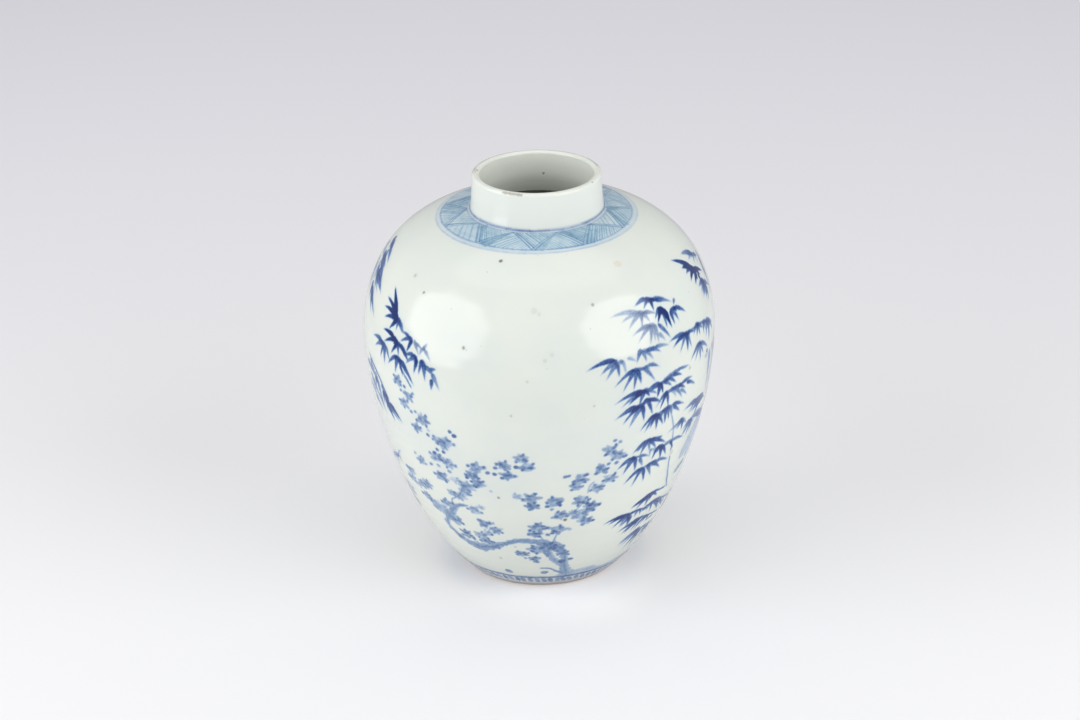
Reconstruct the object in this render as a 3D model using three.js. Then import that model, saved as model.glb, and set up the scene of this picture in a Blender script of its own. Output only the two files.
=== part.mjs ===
// An ovoid porcelain jar with a short straight neck, made of the sections that a potter lutes together.
// Millimetres, +Z up. The origin is the middle of the foot, on the ground.
// Every section is turned about the Z axis, and each meets the next on a flat ring, face to face.
import * as THREE from "three";

// Driving dimensions: the whole jar, 286.5 high and 240 across
const BELLY_RADIUS = 120; // outside, at the widest part
const BELLY_HEIGHT = 175; // of the widest part above the ground
const SHOULDER_RISE = 85.5; // from the widest part up to where the neck stands
const NECK_HEIGHT = 26; // from there to the top of the lip
const FOOT_RADIUS = 52; // outside, on the ground

// Driving dimensions: how full the outline is, as the lengths of its curves' handles
const FOOT_ANGLE = THREE.MathUtils.degToRad(41); // of the wall above the ground, where it leaves the foot
const FOOT_HANDLE = 57;
const BELLY_HANDLE_DOWN = 52;
const BELLY_HANDLE_UP = 35;
const SHOULDER_ANGLE = THREE.MathUtils.degToRad(9); // of the shoulder's slope, where it meets the neck
const SHOULDER_HANDLE = 58;

// Driving dimensions: foot and base
const FOOT_RING_HEIGHT = 5; // the depth of the hollow under the base
const FOOT_RING_WIDTH = 7.5; // across the ring that stands on the ground
const FOOT_EDGE_ROUND = 1; // of the ring's two lower edges
const BASE_THICKNESS = 8;
const BASE_CORNER = 22; // how far the floor inside takes to turn up into the wall

// Driving dimensions: walls and seams
const BODY_WALL = 6;
const BELLY_SEAM_HEIGHT = 3; // of the slip between the two body sections
const BELLY_SEAM_RIDGE = 1.2; // how far that slip stands out inside, where no tool reached it
const NECK_SEAM_HEIGHT = 2; // of the slip under the neck
const NECK_SEAM_FILLET = 2.5; // how far that slip spreads on the shoulder
const MOUTH_CHAMFER = 2; // of the shoulder's lower edge, inside, round the hole for the neck

// Driving dimensions: neck
const NECK_RADIUS = 45.2; // outside, above the seam
const NECK_DRAW_IN = 1.6; // how much smaller the radius is at the lip
const NECK_WALL = 5;
const LIP_ROUND = 2; // of the lip's outer and inner edge
const NECK_TAPER_POWER = 1.6; // 1 is a straight taper, and more is a more hollow one

// How finely the round forms are cut
const TURN_STEPS = 60;
const BODY_STEPS = 11;
const NECK_STEPS = 4;
const EDGE_STEPS = 3;

// Colours of the glazed ware and of the bare clay
const GLAZE_COLOUR = 0xe5eae4;
const INNER_GLAZE_COLOUR = 0xdfe5de;
const BISCUIT_COLOUR = 0xd8b795;

// Heights and radii that follow
const shoulderHeight = BELLY_HEIGHT + SHOULDER_RISE;
const overallHeight = shoulderHeight + NECK_HEIGHT;
const bellySeamLow = BELLY_HEIGHT - BELLY_SEAM_HEIGHT / 2;
const bellySeamHigh = BELLY_HEIGHT + BELLY_SEAM_HEIGHT / 2;
const neckBottom = shoulderHeight + NECK_SEAM_HEIGHT;
const floorHeight = FOOT_RING_HEIGHT + BASE_THICKNESS;
const mouthRadius = NECK_RADIUS - NECK_WALL;
const neckSeamRadius = NECK_RADIUS + NECK_SEAM_FILLET;
const rimRadius = NECK_RADIUS - NECK_DRAW_IN;

const at = (radius, height) => new THREE.Vector2(radius, height);

// The outside of the body below and above its widest part, each one curve that rises all the way
const lowerOutline = new THREE.CubicBezierCurve(
  at(FOOT_RADIUS, 0),
  at(
    FOOT_RADIUS + FOOT_HANDLE * Math.cos(FOOT_ANGLE),
    FOOT_HANDLE * Math.sin(FOOT_ANGLE),
  ),
  at(BELLY_RADIUS, BELLY_HEIGHT - BELLY_HANDLE_DOWN),
  at(BELLY_RADIUS, BELLY_HEIGHT),
);
const upperOutline = new THREE.CubicBezierCurve(
  at(BELLY_RADIUS, BELLY_HEIGHT),
  at(BELLY_RADIUS, BELLY_HEIGHT + BELLY_HANDLE_UP),
  at(
    neckSeamRadius + SHOULDER_HANDLE * Math.cos(SHOULDER_ANGLE),
    shoulderHeight - SHOULDER_HANDLE * Math.sin(SHOULDER_ANGLE),
  ),
  at(neckSeamRadius, shoulderHeight),
);

// The point of an outline at parameter t, moved square to it into the wall by depth
function wallPoint(outline, t, depth) {
  const along = outline.getTangent(t);
  const point = outline.getPoint(t);
  return at(point.x - along.y * depth, point.y + along.x * depth);
}

// The parameter where the wall's surface at that depth is at a height, found by halving
function parameterAt(outline, height, depth) {
  let low = 0;
  let high = 1;
  for (let halving = 0; halving < 40; halving += 1) {
    const middle = (low + high) / 2;
    if (wallPoint(outline, middle, depth).y < height) low = middle;
    else high = middle;
  }
  return (low + high) / 2;
}

// Points on the wall's surface at that depth, from one height to another, with both end heights exact
function stretch(outline, depth, fromHeight, toHeight, steps) {
  const first = parameterAt(outline, fromHeight, depth);
  const last = parameterAt(outline, toHeight, depth);
  const points = [];
  for (let step = 0; step <= steps; step += 1) {
    points.push(
      wallPoint(outline, first + ((last - first) * step) / steps, depth),
    );
  }
  points[0].y = fromHeight;
  points[steps].y = toHeight;
  return points;
}

// A quarter round from one angle to another, about a centre
function arc(centre, radius, fromAngle, toAngle, steps) {
  const points = [];
  for (let step = 0; step <= steps; step += 1) {
    const angle = fromAngle + ((toAngle - fromAngle) * step) / steps;
    points.push(
      at(
        centre.x + radius * Math.cos(angle),
        centre.y + radius * Math.sin(angle),
      ),
    );
  }
  return points;
}

// A piece turned about the Z axis from a profile that goes round its section anticlockwise
function turned(name, profile, colour, roughness) {
  const geometry = new THREE.LatheGeometry(profile, TURN_STEPS);
  geometry.rotateX(Math.PI / 2);
  const material = new THREE.MeshStandardMaterial({
    color: colour,
    roughness,
    metalness: 0,
    side: THREE.FrontSide,
  });
  const mesh = new THREE.Mesh(geometry, material);
  mesh.name = name;
  return mesh;
}

// Closes a profile that doesn't reach the axis
const closed = (profile) => [...profile, profile[0].clone()];

// The unglazed ring that stands on the ground: its outside carries on the body's outline
function footRing() {
  const outerWall = stretch(
    lowerOutline,
    0,
    FOOT_EDGE_ROUND,
    FOOT_RING_HEIGHT,
    2,
  );
  const innerRadius = FOOT_RADIUS - FOOT_RING_WIDTH;
  const innerEdge = arc(
    at(innerRadius + FOOT_EDGE_ROUND, FOOT_EDGE_ROUND),
    FOOT_EDGE_ROUND,
    Math.PI,
    1.5 * Math.PI,
    EDGE_STEPS,
  );
  const profile = [
    ...innerEdge,
    at(FOOT_RADIUS - FOOT_EDGE_ROUND, 0),
    ...outerWall,
    at(innerRadius, FOOT_RING_HEIGHT),
  ];
  return turned("foot_ring", closed(profile), BISCUIT_COLOUR, 0.75);
}

// The lower section with its base: a bowl up to the seam at the widest part
function lowerBody() {
  const outside = stretch(
    lowerOutline,
    0,
    FOOT_RING_HEIGHT,
    bellySeamLow,
    BODY_STEPS,
  );
  const inside = stretch(
    lowerOutline,
    BODY_WALL,
    floorHeight + BASE_CORNER,
    bellySeamLow,
    BODY_STEPS - 1,
  ).reverse();
  const turnIn = inside[inside.length - 1];
  const inwards = lowerOutline.getTangent(
    parameterAt(lowerOutline, turnIn.y, BODY_WALL),
  );
  const cornerRadius = turnIn.x - (inwards.x / inwards.y) * BASE_CORNER;
  const corner = new THREE.QuadraticBezierCurve(
    turnIn,
    at(cornerRadius, floorHeight),
    at(cornerRadius - BASE_CORNER, floorHeight),
  ).getPoints(NECK_STEPS);
  const profile = [
    at(0, FOOT_RING_HEIGHT),
    ...outside,
    ...inside,
    ...corner.slice(1),
    at(0, floorHeight),
  ];
  return turned("lower_body", profile, GLAZE_COLOUR, 0.12);
}

// The slip at the widest part: pared flush outside, left as a low ridge inside
function bellySeam() {
  const innerRadius = (height, outline) =>
    wallPoint(outline, parameterAt(outline, height, BODY_WALL), BODY_WALL).x;
  const profile = [
    ...stretch(lowerOutline, 0, bellySeamLow, BELLY_HEIGHT, 1),
    ...stretch(upperOutline, 0, BELLY_HEIGHT, bellySeamHigh, 1).slice(1),
    at(innerRadius(bellySeamHigh, upperOutline), bellySeamHigh),
    at(BELLY_RADIUS - BODY_WALL - BELLY_SEAM_RIDGE, BELLY_HEIGHT),
    at(innerRadius(bellySeamLow, lowerOutline), bellySeamLow),
  ];
  return turned("belly_slip_seam", closed(profile), INNER_GLAZE_COLOUR, 0.2);
}

// The upper section: the shoulder, closed in to the hole under the neck
function upperBody() {
  const outside = stretch(
    upperOutline,
    0,
    bellySeamHigh,
    shoulderHeight,
    BODY_STEPS,
  );
  const underside = wallPoint(upperOutline, 1, BODY_WALL);
  const inside = stretch(
    upperOutline,
    BODY_WALL,
    bellySeamHigh,
    underside.y,
    BODY_STEPS - 1,
  ).reverse();
  const profile = [
    ...outside,
    at(mouthRadius, shoulderHeight),
    at(mouthRadius, underside.y + MOUTH_CHAMFER),
    at(mouthRadius + MOUTH_CHAMFER, underside.y),
    ...inside,
  ];
  return turned("upper_body", closed(profile), GLAZE_COLOUR, 0.12);
}

// The slip under the neck: a hollow fillet from the shoulder up to the neck's wall
function neckSeam() {
  const fillet = new THREE.QuadraticBezierCurve(
    at(neckSeamRadius, shoulderHeight),
    at(NECK_RADIUS, shoulderHeight),
    at(NECK_RADIUS, neckBottom),
  ).getPoints(EDGE_STEPS);
  const profile = [
    ...fillet,
    at(mouthRadius, neckBottom),
    at(mouthRadius, shoulderHeight),
  ];
  return turned("neck_slip_seam", closed(profile), GLAZE_COLOUR, 0.15);
}

// The neck: a short wall that draws in a little towards a rounded lip with a narrow flat top
function neckCollar() {
  const lipHeight = overallHeight - LIP_ROUND;
  const wall = [];
  for (let step = 0; step < NECK_STEPS; step += 1) {
    const rise = step / NECK_STEPS;
    const drawnIn = 1 - (1 - rise) ** NECK_TAPER_POWER;
    wall.push(
      at(
        NECK_RADIUS - NECK_DRAW_IN * drawnIn,
        neckBottom + (lipHeight - neckBottom) * rise,
      ),
    );
  }
  const innerWall = wall
    .map((point) => at(point.x - NECK_WALL, point.y))
    .reverse();
  const outerLip = arc(
    at(rimRadius - LIP_ROUND, lipHeight),
    LIP_ROUND,
    0,
    Math.PI / 2,
    EDGE_STEPS,
  );
  const innerLip = arc(
    at(rimRadius - NECK_WALL + LIP_ROUND, lipHeight),
    LIP_ROUND,
    Math.PI / 2,
    Math.PI,
    EDGE_STEPS,
  );
  const profile = [...wall, ...outerLip, ...innerLip, ...innerWall];
  return turned("neck_collar", closed(profile), GLAZE_COLOUR, 0.12);
}

const jar = new THREE.Group();
jar.add(
  footRing(),
  lowerBody(),
  bellySeam(),
  upperBody(),
  neckSeam(),
  neckCollar(),
);

export default jar;
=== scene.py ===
"""A wheel-thrown porcelain jar, glazed and painted in underglaze blue, in a plain studio.

Places on the wall are given as (angle, rise): the angle in degrees round the axis, 0 at the front and
growing to the right, and the rise in millimetres along the outline, from the ground up.
"""

import logging
import math
from collections.abc import Callable
from dataclasses import dataclass
from enum import Enum

import bmesh
import bpy
import numpy as np
from mathutils import Matrix, Vector


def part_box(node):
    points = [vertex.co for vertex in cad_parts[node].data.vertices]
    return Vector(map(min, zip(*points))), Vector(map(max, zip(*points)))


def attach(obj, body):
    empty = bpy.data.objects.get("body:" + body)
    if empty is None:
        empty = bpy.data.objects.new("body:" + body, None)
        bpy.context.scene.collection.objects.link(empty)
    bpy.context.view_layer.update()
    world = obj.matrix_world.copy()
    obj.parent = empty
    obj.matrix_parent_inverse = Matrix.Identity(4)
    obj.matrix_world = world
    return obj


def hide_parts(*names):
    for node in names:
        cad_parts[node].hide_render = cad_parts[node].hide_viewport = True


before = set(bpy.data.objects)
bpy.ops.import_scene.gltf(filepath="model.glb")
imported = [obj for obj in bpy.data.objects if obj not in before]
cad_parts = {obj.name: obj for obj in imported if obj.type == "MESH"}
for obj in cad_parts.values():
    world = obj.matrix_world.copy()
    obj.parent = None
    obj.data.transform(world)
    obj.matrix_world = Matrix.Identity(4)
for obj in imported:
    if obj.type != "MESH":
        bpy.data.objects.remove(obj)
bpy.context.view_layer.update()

LOG = logging.getLogger("jar")
Array = np.ndarray
Socket, Node, Tree = bpy.types.NodeSocket, bpy.types.Node, bpy.types.NodeTree
Material, Thing = bpy.types.Material, bpy.types.Object
MM = 0.001
BODY = "root"
BAKE_MAP = "OFBake"
DEPTH, CAST, INSIDE = "ink_depth", "ink_cast", "inside"


class Ink(Enum):
    """How much cobalt the brush carries: (depth of colour, how grey it dries)."""

    BLACK = (5.4, -0.1)
    DEEP = (2.95, 0.0)
    DARK = (2.25, 0.1)
    MID = (1.65, 0.2)
    SOFT = (1.15, 0.2)
    LILAC = (1.2, 1.0)


BLACK, DEEP, DARK, MID, SOFT, LILAC = Ink


def smooth_line(points: Array, samples: int) -> Array:
    """Carries a smooth curve through points.

    Between two neighbours it is the cubic whose slope at each of them is half the chord between the
    points on either side, and the ends go on as straight as they begin.

    Args:
        points: one row for each point, with any number of columns.
        samples: how many rows come back.

    Returns:
        The curve's points, evenly spaced between the given ones.
    """
    padded = np.vstack([2 * points[0] - points[1], points, 2 * points[-1] - points[-2]])
    place = np.linspace(0, len(points) - 1, samples)
    first = np.minimum(place.astype(int), len(points) - 2)
    t = (place - first)[:, None]
    a, b, c, d = (padded[first + step] for step in range(4))
    return 0.5 * (2 * b + (c - a) * t + (2 * a - 5 * b + 4 * c - d) * t**2 + (3 * b - a - 3 * c + d) * t**3)


def bezier(points: list[tuple], t: Array) -> Array:
    """The cubic curve over four points, as their blend by the Bernstein weights of t."""
    weights = np.stack([(1 - t) ** 3, 3 * t * (1 - t) ** 2, 3 * t**2 * (1 - t), t**3], axis=-1)
    return weights @ np.array(points)


def make_mesh(name: str, points: Array, faces: Array, places: Array,
              values: dict[str, Array]) -> bpy.types.Mesh:
    """Puts whole arrays into a new smooth mesh.

    Args:
        name: the mesh's name.
        points: the places of the vertices, in metres.
        faces: the four vertices of each face.
        places: where each face's corners lie on the bake map.
        values: numbers kept at the vertices, by name.

    Returns:
        The mesh.
    """
    mesh = bpy.data.meshes.new(name)
    mesh.from_pydata(points, [], faces)
    mesh.uv_layers.new(name=BAKE_MAP).data.foreach_set("uv", places.astype(np.float32).ravel())
    for key, numbers in values.items():
        kept = mesh.attributes.new(key, "FLOAT", "POINT").data
        kept.foreach_set("value", numbers.astype(np.float32).ravel())
    mesh.polygons.foreach_set("use_smooth", np.ones(len(mesh.polygons), bool))
    mesh.update()
    return mesh


def make_piece(mesh: bpy.types.Mesh, material: Material) -> Thing:
    """Hangs a mesh on the jar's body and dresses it."""
    piece = bpy.data.objects.new(mesh.name, mesh)
    bpy.context.scene.collection.objects.link(piece)
    mesh.materials.append(material)
    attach(piece, BODY)
    LOG.info("%s: %d faces", piece.name, len(mesh.polygons))
    return piece


@dataclass
class Wall:
    """The jar's wall, whose outline is one line from the ground to the lip. Sizes in millimetres.

    Two cubic curves meet at the widest part. A hollow fillet of slip leads into the neck, which draws in
    towards a lip that is rounded by a quarter circle on each side.
    """

    foot_radius: float = 52.0
    foot_angle: float = 41.0
    foot_handle: float = 57.0
    belly_handle_down: float = 52.0
    belly_handle_up: float = 35.0
    shoulder_angle: float = 9.0
    shoulder_handle: float = 58.0
    seam_fillet: float = 2.5
    neck_draw_in: float = 1.6
    neck_taper_power: float = 1.6
    neck_wall: float = 5.0
    lip_round: float = 2.0
    body_wall: float = 6.0
    uneven: float = 0.3
    ring_depth: float = 0.03
    ring_pitch: float = 8.5
    rim_lean: float = 1.2

    def __post_init__(self) -> None:
        """Takes the heights and radii from the frame, and lays out the outline in fine steps."""
        seam_low, seam_high = (np.array(corner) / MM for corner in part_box("belly_slip_seam"))
        neck_low, neck_high = (np.array(corner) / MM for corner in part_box("neck_slip_seam"))
        self.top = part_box("neck_collar")[1][2] / MM
        self.foot_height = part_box("foot_ring")[1][2] / MM
        self.seam = (seam_low[2], seam_high[2])
        self.belly_radius, self.belly_height = seam_high[0], (seam_low[2] + seam_high[2]) / 2
        self.shoulder_height, self.neck_bottom = neck_low[2], neck_high[2]
        self.neck_radius = neck_high[0] - self.seam_fillet
        self.mouth_radius = self.neck_radius - self.neck_wall
        self.rim_radius = self.neck_radius - self.neck_draw_in
        self.lip_bottom = self.top - self.lip_round
        foot, shoulder = math.radians(self.foot_angle), math.radians(self.shoulder_angle)
        neck_foot = self.neck_radius + self.seam_fillet
        t = np.linspace(0, 1, 500)
        lower = bezier([
            (self.foot_radius, 0),
            (self.foot_radius + self.foot_handle * math.cos(foot), self.foot_handle * math.sin(foot)),
            (self.belly_radius, self.belly_height - self.belly_handle_down),
            (self.belly_radius, self.belly_height)], t)
        upper = bezier([
            (self.belly_radius, self.belly_height),
            (self.belly_radius, self.belly_height + self.belly_handle_up),
            (neck_foot + self.shoulder_handle * math.cos(shoulder),
             self.shoulder_height - self.shoulder_handle * math.sin(shoulder)),
            (neck_foot, self.shoulder_height)], t)
        s = np.linspace(0, 1, 14)[1:]
        fillet = np.stack([
            neck_foot * (1 - s) ** 2 + self.neck_radius * (2 * s * (1 - s) + s**2),
            self.shoulder_height * (1 - s**2) + self.neck_bottom * s**2], axis=-1)
        rise = np.linspace(0, 1, 60)[1:]
        drawn = self.neck_radius - self.neck_draw_in * (1 - (1 - rise) ** self.neck_taper_power)
        neck = np.stack([drawn, self.neck_bottom + (self.lip_bottom - self.neck_bottom) * rise], axis=-1)
        outline = np.vstack([lower, upper[1:], fillet, neck, self.lip(0, 90)[1:]])
        self.radii, self.heights = outline.T
        self.rises = np.concatenate([[0], np.cumsum(np.hypot(*np.diff(outline, axis=0).T))])
        self.outward = np.gradient(self.heights, self.rises)
        self.upward = -np.gradient(self.radii, self.rises)

    def lip(self, start: float, end: float) -> Array:
        """Section points of the lip's rounded edges, from one angle above the outside to another.

        The first 90 degrees are the outer quarter circle, and the last 90 the inner one.
        """
        angle = np.radians(np.linspace(start, end, 13))
        middle = self.rim_radius - (self.lip_round if start < 90 else self.neck_wall - self.lip_round)
        return np.stack([middle + self.lip_round * np.cos(angle),
                         self.lip_bottom + self.lip_round * np.sin(angle)], axis=-1)

    def rise_at(self, height: float) -> float:
        """The rise of a height on the outline."""
        return float(np.interp(height, self.heights, self.rises))

    def radius_at(self, rise: Array) -> Array:
        """The radius of the outline at a rise."""
        return np.interp(rise, self.rises, self.radii)

    def outline(self, low: float, high: float, count: int) -> Array:
        """Section points on the outline between two heights, evenly spaced along it."""
        rises = np.linspace(self.rise_at(low), self.rise_at(high), count)
        return np.stack([self.radius_at(rises), np.interp(rises, self.rises, self.heights)], axis=-1)

    def unevenness(self, turned: Array, height: Array) -> Array:
        """How far handwork left the wall from round: slow swells round and up it, and faint throwing rings.

        It is a sum of sines of the angle and the height, never outward of the true round, and it fades
        away at the foot and at the lip.

        Args:
            turned: the angle in radians.
            height: the height in millimetres.

        Returns:
            The change of radius in millimetres.
        """
        slow = 0.5 * np.sin(2 * turned + 0.7) + 0.3 * np.sin(3 * turned - 1.1 + height / 40)
        slow = slow + 0.2 * np.sin(height / 17 + turned)
        drift = 0.6 * np.sin(turned + height / 30)
        rings = self.ring_depth * np.sin(math.tau * height / self.ring_pitch + drift)
        fade = np.clip((height - self.foot_height) / 25, 0, 1) * np.clip((self.top - height) / 40, 0, 1)
        return fade * (self.uneven * (slow - 1) / 2 + rings)

    def turn(self, angle: Array, radius: Array, height: Array) -> Array:
        """Carries section points round the axis, with the wall's unevenness, to places in metres."""
        turned = np.radians(angle)
        uneven = radius + self.unevenness(turned, height) * np.clip(radius / 20, 0, 1)
        share = np.clip((height - self.neck_bottom) / (self.top - self.neck_bottom), 0, 1)
        leaning = height - self.rim_lean * share * (1 - np.cos(turned)) / 2
        return MM * np.stack([uneven * np.sin(turned), -uneven * np.cos(turned), leaning], axis=-1)

    def place(self, angle: Array, rise: Array, lift: float = 0.0) -> Array:
        """The place of (angle, rise) on the glaze, lifted off it square to the outline, in metres."""
        radius = self.radius_at(rise) + lift * np.interp(rise, self.rises, self.outward)
        height = np.interp(rise, self.rises, self.heights) + lift * np.interp(rise, self.rises, self.upward)
        return self.turn(angle, radius, height)

    def normal(self, angle: Array, rise: Array) -> Array:
        """The wall's outward normal: the cross product of small steps round it and up it."""
        step = 0.3
        around = self.place(angle + step, rise) - self.place(angle - step, rise)
        outward = np.cross(around, self.place(angle, rise + step) - self.place(angle, rise - step))
        return outward / np.linalg.norm(outward, axis=-1, keepdims=True)

    def stretch(self, low: float, high: float, depth: float = 0.0, spacing: float = 1.5) -> Array:
        """Section points on the wall's surface, or at a depth inside it, between two heights.

        The points are the outline's, moved square to it into the wall. The first and last steps are
        very short, so that two sections which meet there shade alike.

        Args:
            low: the lower height.
            high: the upper height.
            depth: how far inside the glaze.
            spacing: the usual step.

        Returns:
            Section points (radius, height), from low to high.
        """
        keep = self.rises <= self.rise_at(self.shoulder_height)
        rises = self.rises[keep]
        radii = self.radii[keep] - depth * self.outward[keep]
        heights = self.heights[keep] - depth * self.upward[keep]
        first, last = np.interp([low, high], heights, rises)
        edge = 0.06
        even = np.linspace(first + edge, last - edge, max(2, round((last - first) / spacing)))
        at = np.concatenate([[first], even, [last]])
        section = np.stack([np.interp(at, rises, radii), np.interp(at, rises, heights)], axis=-1)
        section[0, 1], section[-1, 1] = low, high
        return section


@dataclass
class TurnedPiece:
    """A piece turned from a section that goes round its wall anticlockwise, in place of a node."""

    wall: Wall
    name: str
    node: str
    material: Material
    slot: str = "glaze"
    steps: int = 256

    def build(self, *parts: tuple[Array, float]) -> None:
        """Turns the section: a grid of its points by equal angles, whose poles are then drawn together.

        Args:
            parts: stretches of section points, each with how far inside the jar it faces, 0 to 1.
        """
        section = np.vstack([points for points, _ in parts])
        inside = np.concatenate([np.full(len(points), value) for points, value in parts])
        fresh = np.ones(len(section), bool)
        fresh[1:] = np.hypot(*np.diff(section, axis=0).T) > 1e-6
        section, inside = section[fresh], inside[fresh]
        if section[0, 0] > 1e-6:
            section, inside = np.vstack([section, section[:1]]), np.append(inside, inside[0])
        angles = np.linspace(0, 360, self.steps + 1)
        points = self.wall.turn(angles[:, None], section[None, :, 0], section[None, :, 1])
        rows, columns = points.shape[:2]
        corner = np.arange(rows - 1)[:, None] * columns + np.arange(columns - 1)[None, :]
        faces = np.stack([corner, corner + columns, corner + columns + 1, corner + 1], axis=-1).reshape(-1, 4)
        along = np.concatenate([[0], np.cumsum(np.hypot(*np.diff(section, axis=0).T))])
        spots = np.stack(np.meshgrid(angles / 360, along / along[-1], indexing="ij"), axis=-1).reshape(-1, 2)
        mesh = make_mesh(self.name, points.reshape(-1, 3), faces, 0.01 + 0.98 * spots[faces.ravel()],
                         {INSIDE: np.tile(inside, rows)})
        edit = bmesh.new()
        edit.from_mesh(mesh)
        bmesh.ops.remove_doubles(edit, verts=edit.verts, dist=0.002 * MM)
        edit.to_mesh(mesh)
        edit.free()
        mesh.set_sharp_from_angle(angle=math.radians(40))
        piece = make_piece(mesh, self.material)
        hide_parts(self.node)


class Shader:
    """A node tree that is filled by short calls: node(type, inputs by number or name, settings by name)."""

    def __init__(self, tree: Tree) -> None:
        """Empties the tree and takes it over."""
        self.tree = tree
        tree.nodes.clear()

    def feed(self, node: Node, inputs: dict) -> None:
        """Links a socket to each input of a node, or sets its value, by number or name."""
        for key, value in inputs.items():
            if isinstance(value, Socket):
                self.tree.links.new(value, node.inputs[key])
            else:
                node.inputs[key].default_value = value

    def node(self, kind: str, inputs: dict | None = None, **settings: object) -> Node:
        """Adds a node.

        Args:
            kind: the node's type without the leading ShaderNode.
            inputs: a number, colour or output socket for each input.
            settings: the node's own properties.

        Returns:
            The node.
        """
        made = self.tree.nodes.new(kind if kind.startswith("NodeGroup") else "ShaderNode" + kind)
        for key, value in settings.items():
            setattr(made, key, value)
        self.feed(made, inputs or {})
        return made

    def math(self, operation: str, *values: object, clamp: bool = False) -> Socket:
        """One arithmetic step on up to three values."""
        return self.node("Math", dict(enumerate(values)), operation=operation, use_clamp=clamp).outputs[0]

    def times(self, product: object, *factors: object) -> Socket:
        """The product of values."""
        for factor in factors:
            product = self.math("MULTIPLY", product, factor)
        return product

    def mix(self, share: object, first: object, second: object, blend: str = "MIX") -> Socket:
        """A blend of two colours."""
        inputs = {0: share, 6: first, 7: second}
        return self.node("Mix", inputs, data_type="RGBA", blend_type=blend).outputs[2]

    def ramp(self, value: object, low: float, high: float, start: float = 0.0, end: float = 1.0) -> Socket:
        """A smooth step of a value from start at low to end at high."""
        inputs = {0: value, 1: low, 2: high, 3: start, 4: end}
        return self.node("MapRange", inputs, interpolation_type="SMOOTHSTEP").outputs[0]

    def cloud(self, where: Socket, scale: float, detail: float, seed: float, *limits: float) -> Socket:
        """A cloudy value about a half, or its ramp between limits. The seed picks another cloud."""
        inputs = {"Vector": where, "W": seed, "Scale": scale, "Detail": detail}
        value = self.node("TexNoise", inputs, noise_dimensions="4D").outputs[0]
        return self.ramp(value, *limits) if limits else value

    def read(self, name: str) -> Socket:
        """A value kept at the vertices."""
        return self.node("Attribute", attribute_name=name).outputs["Fac"]

    def split(self, where: Socket) -> tuple:
        """The three parts of a place."""
        return tuple(self.node("SeparateXYZ", {0: where}).outputs)

    def away(self, where: Socket, spot: tuple) -> Socket:
        """How far a place is from a fixed spot."""
        return self.node("VectorMath", {0: where, 1: spot}, operation="DISTANCE").outputs["Value"]

    def end(self, colour: Socket, roughness: object, height: Socket) -> None:
        """Ends a material with its surface, whose relief is in millimetres."""
        bump = self.node("Bump", {"Strength": 1.0, "Distance": MM, "Height": height}).outputs[0]
        surface = self.node("BsdfPrincipled", {
            "Base Color": colour, "Roughness": roughness, "IOR": 1.5, "Normal": bump})
        self.node("OutputMaterial", {0: surface.outputs[0]})


def new_material(name: str) -> tuple[Material, Shader, Socket]:
    """Makes a material, and gives it with its empty node tree and its object coordinates."""
    material = bpy.data.materials.new(name)
    material.use_nodes = True
    shader = Shader(material.node_tree)
    return material, shader, shader.node("TexCoord").outputs["Object"]


def new_group(name: str, inputs: dict[str, str], outputs: dict[str, str]) -> tuple[Shader, tuple, Node]:
    """Makes a node group.

    Args:
        name: its name.
        inputs: the type of each named input: Float, Color or Vector.
        outputs: the same for the outputs.

    Returns:
        The group's shader tree, its given sockets and its output node.
    """
    tree = bpy.data.node_groups.new(name, "ShaderNodeTree")
    for side, sockets in (("INPUT", inputs), ("OUTPUT", outputs)):
        for key, kind in sockets.items():
            tree.interface.new_socket(key, in_out=side, socket_type="NodeSocket" + kind)
    shader = Shader(tree)
    given = tuple(shader.node("NodeGroupInput").outputs)[:len(inputs)]
    return shader, given, shader.node("NodeGroupOutput")


def srgb(red: int, green: int, blue: int) -> tuple[float, float, float, float]:
    """A colour as a screen shows it, 0 to 255, turned into light."""
    light = [((c / 255 + 0.055) / 1.055) ** 2.4 if c > 10 else c / 255 / 12.92 for c in (red, green, blue)]
    return (*light, 1.0)


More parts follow.
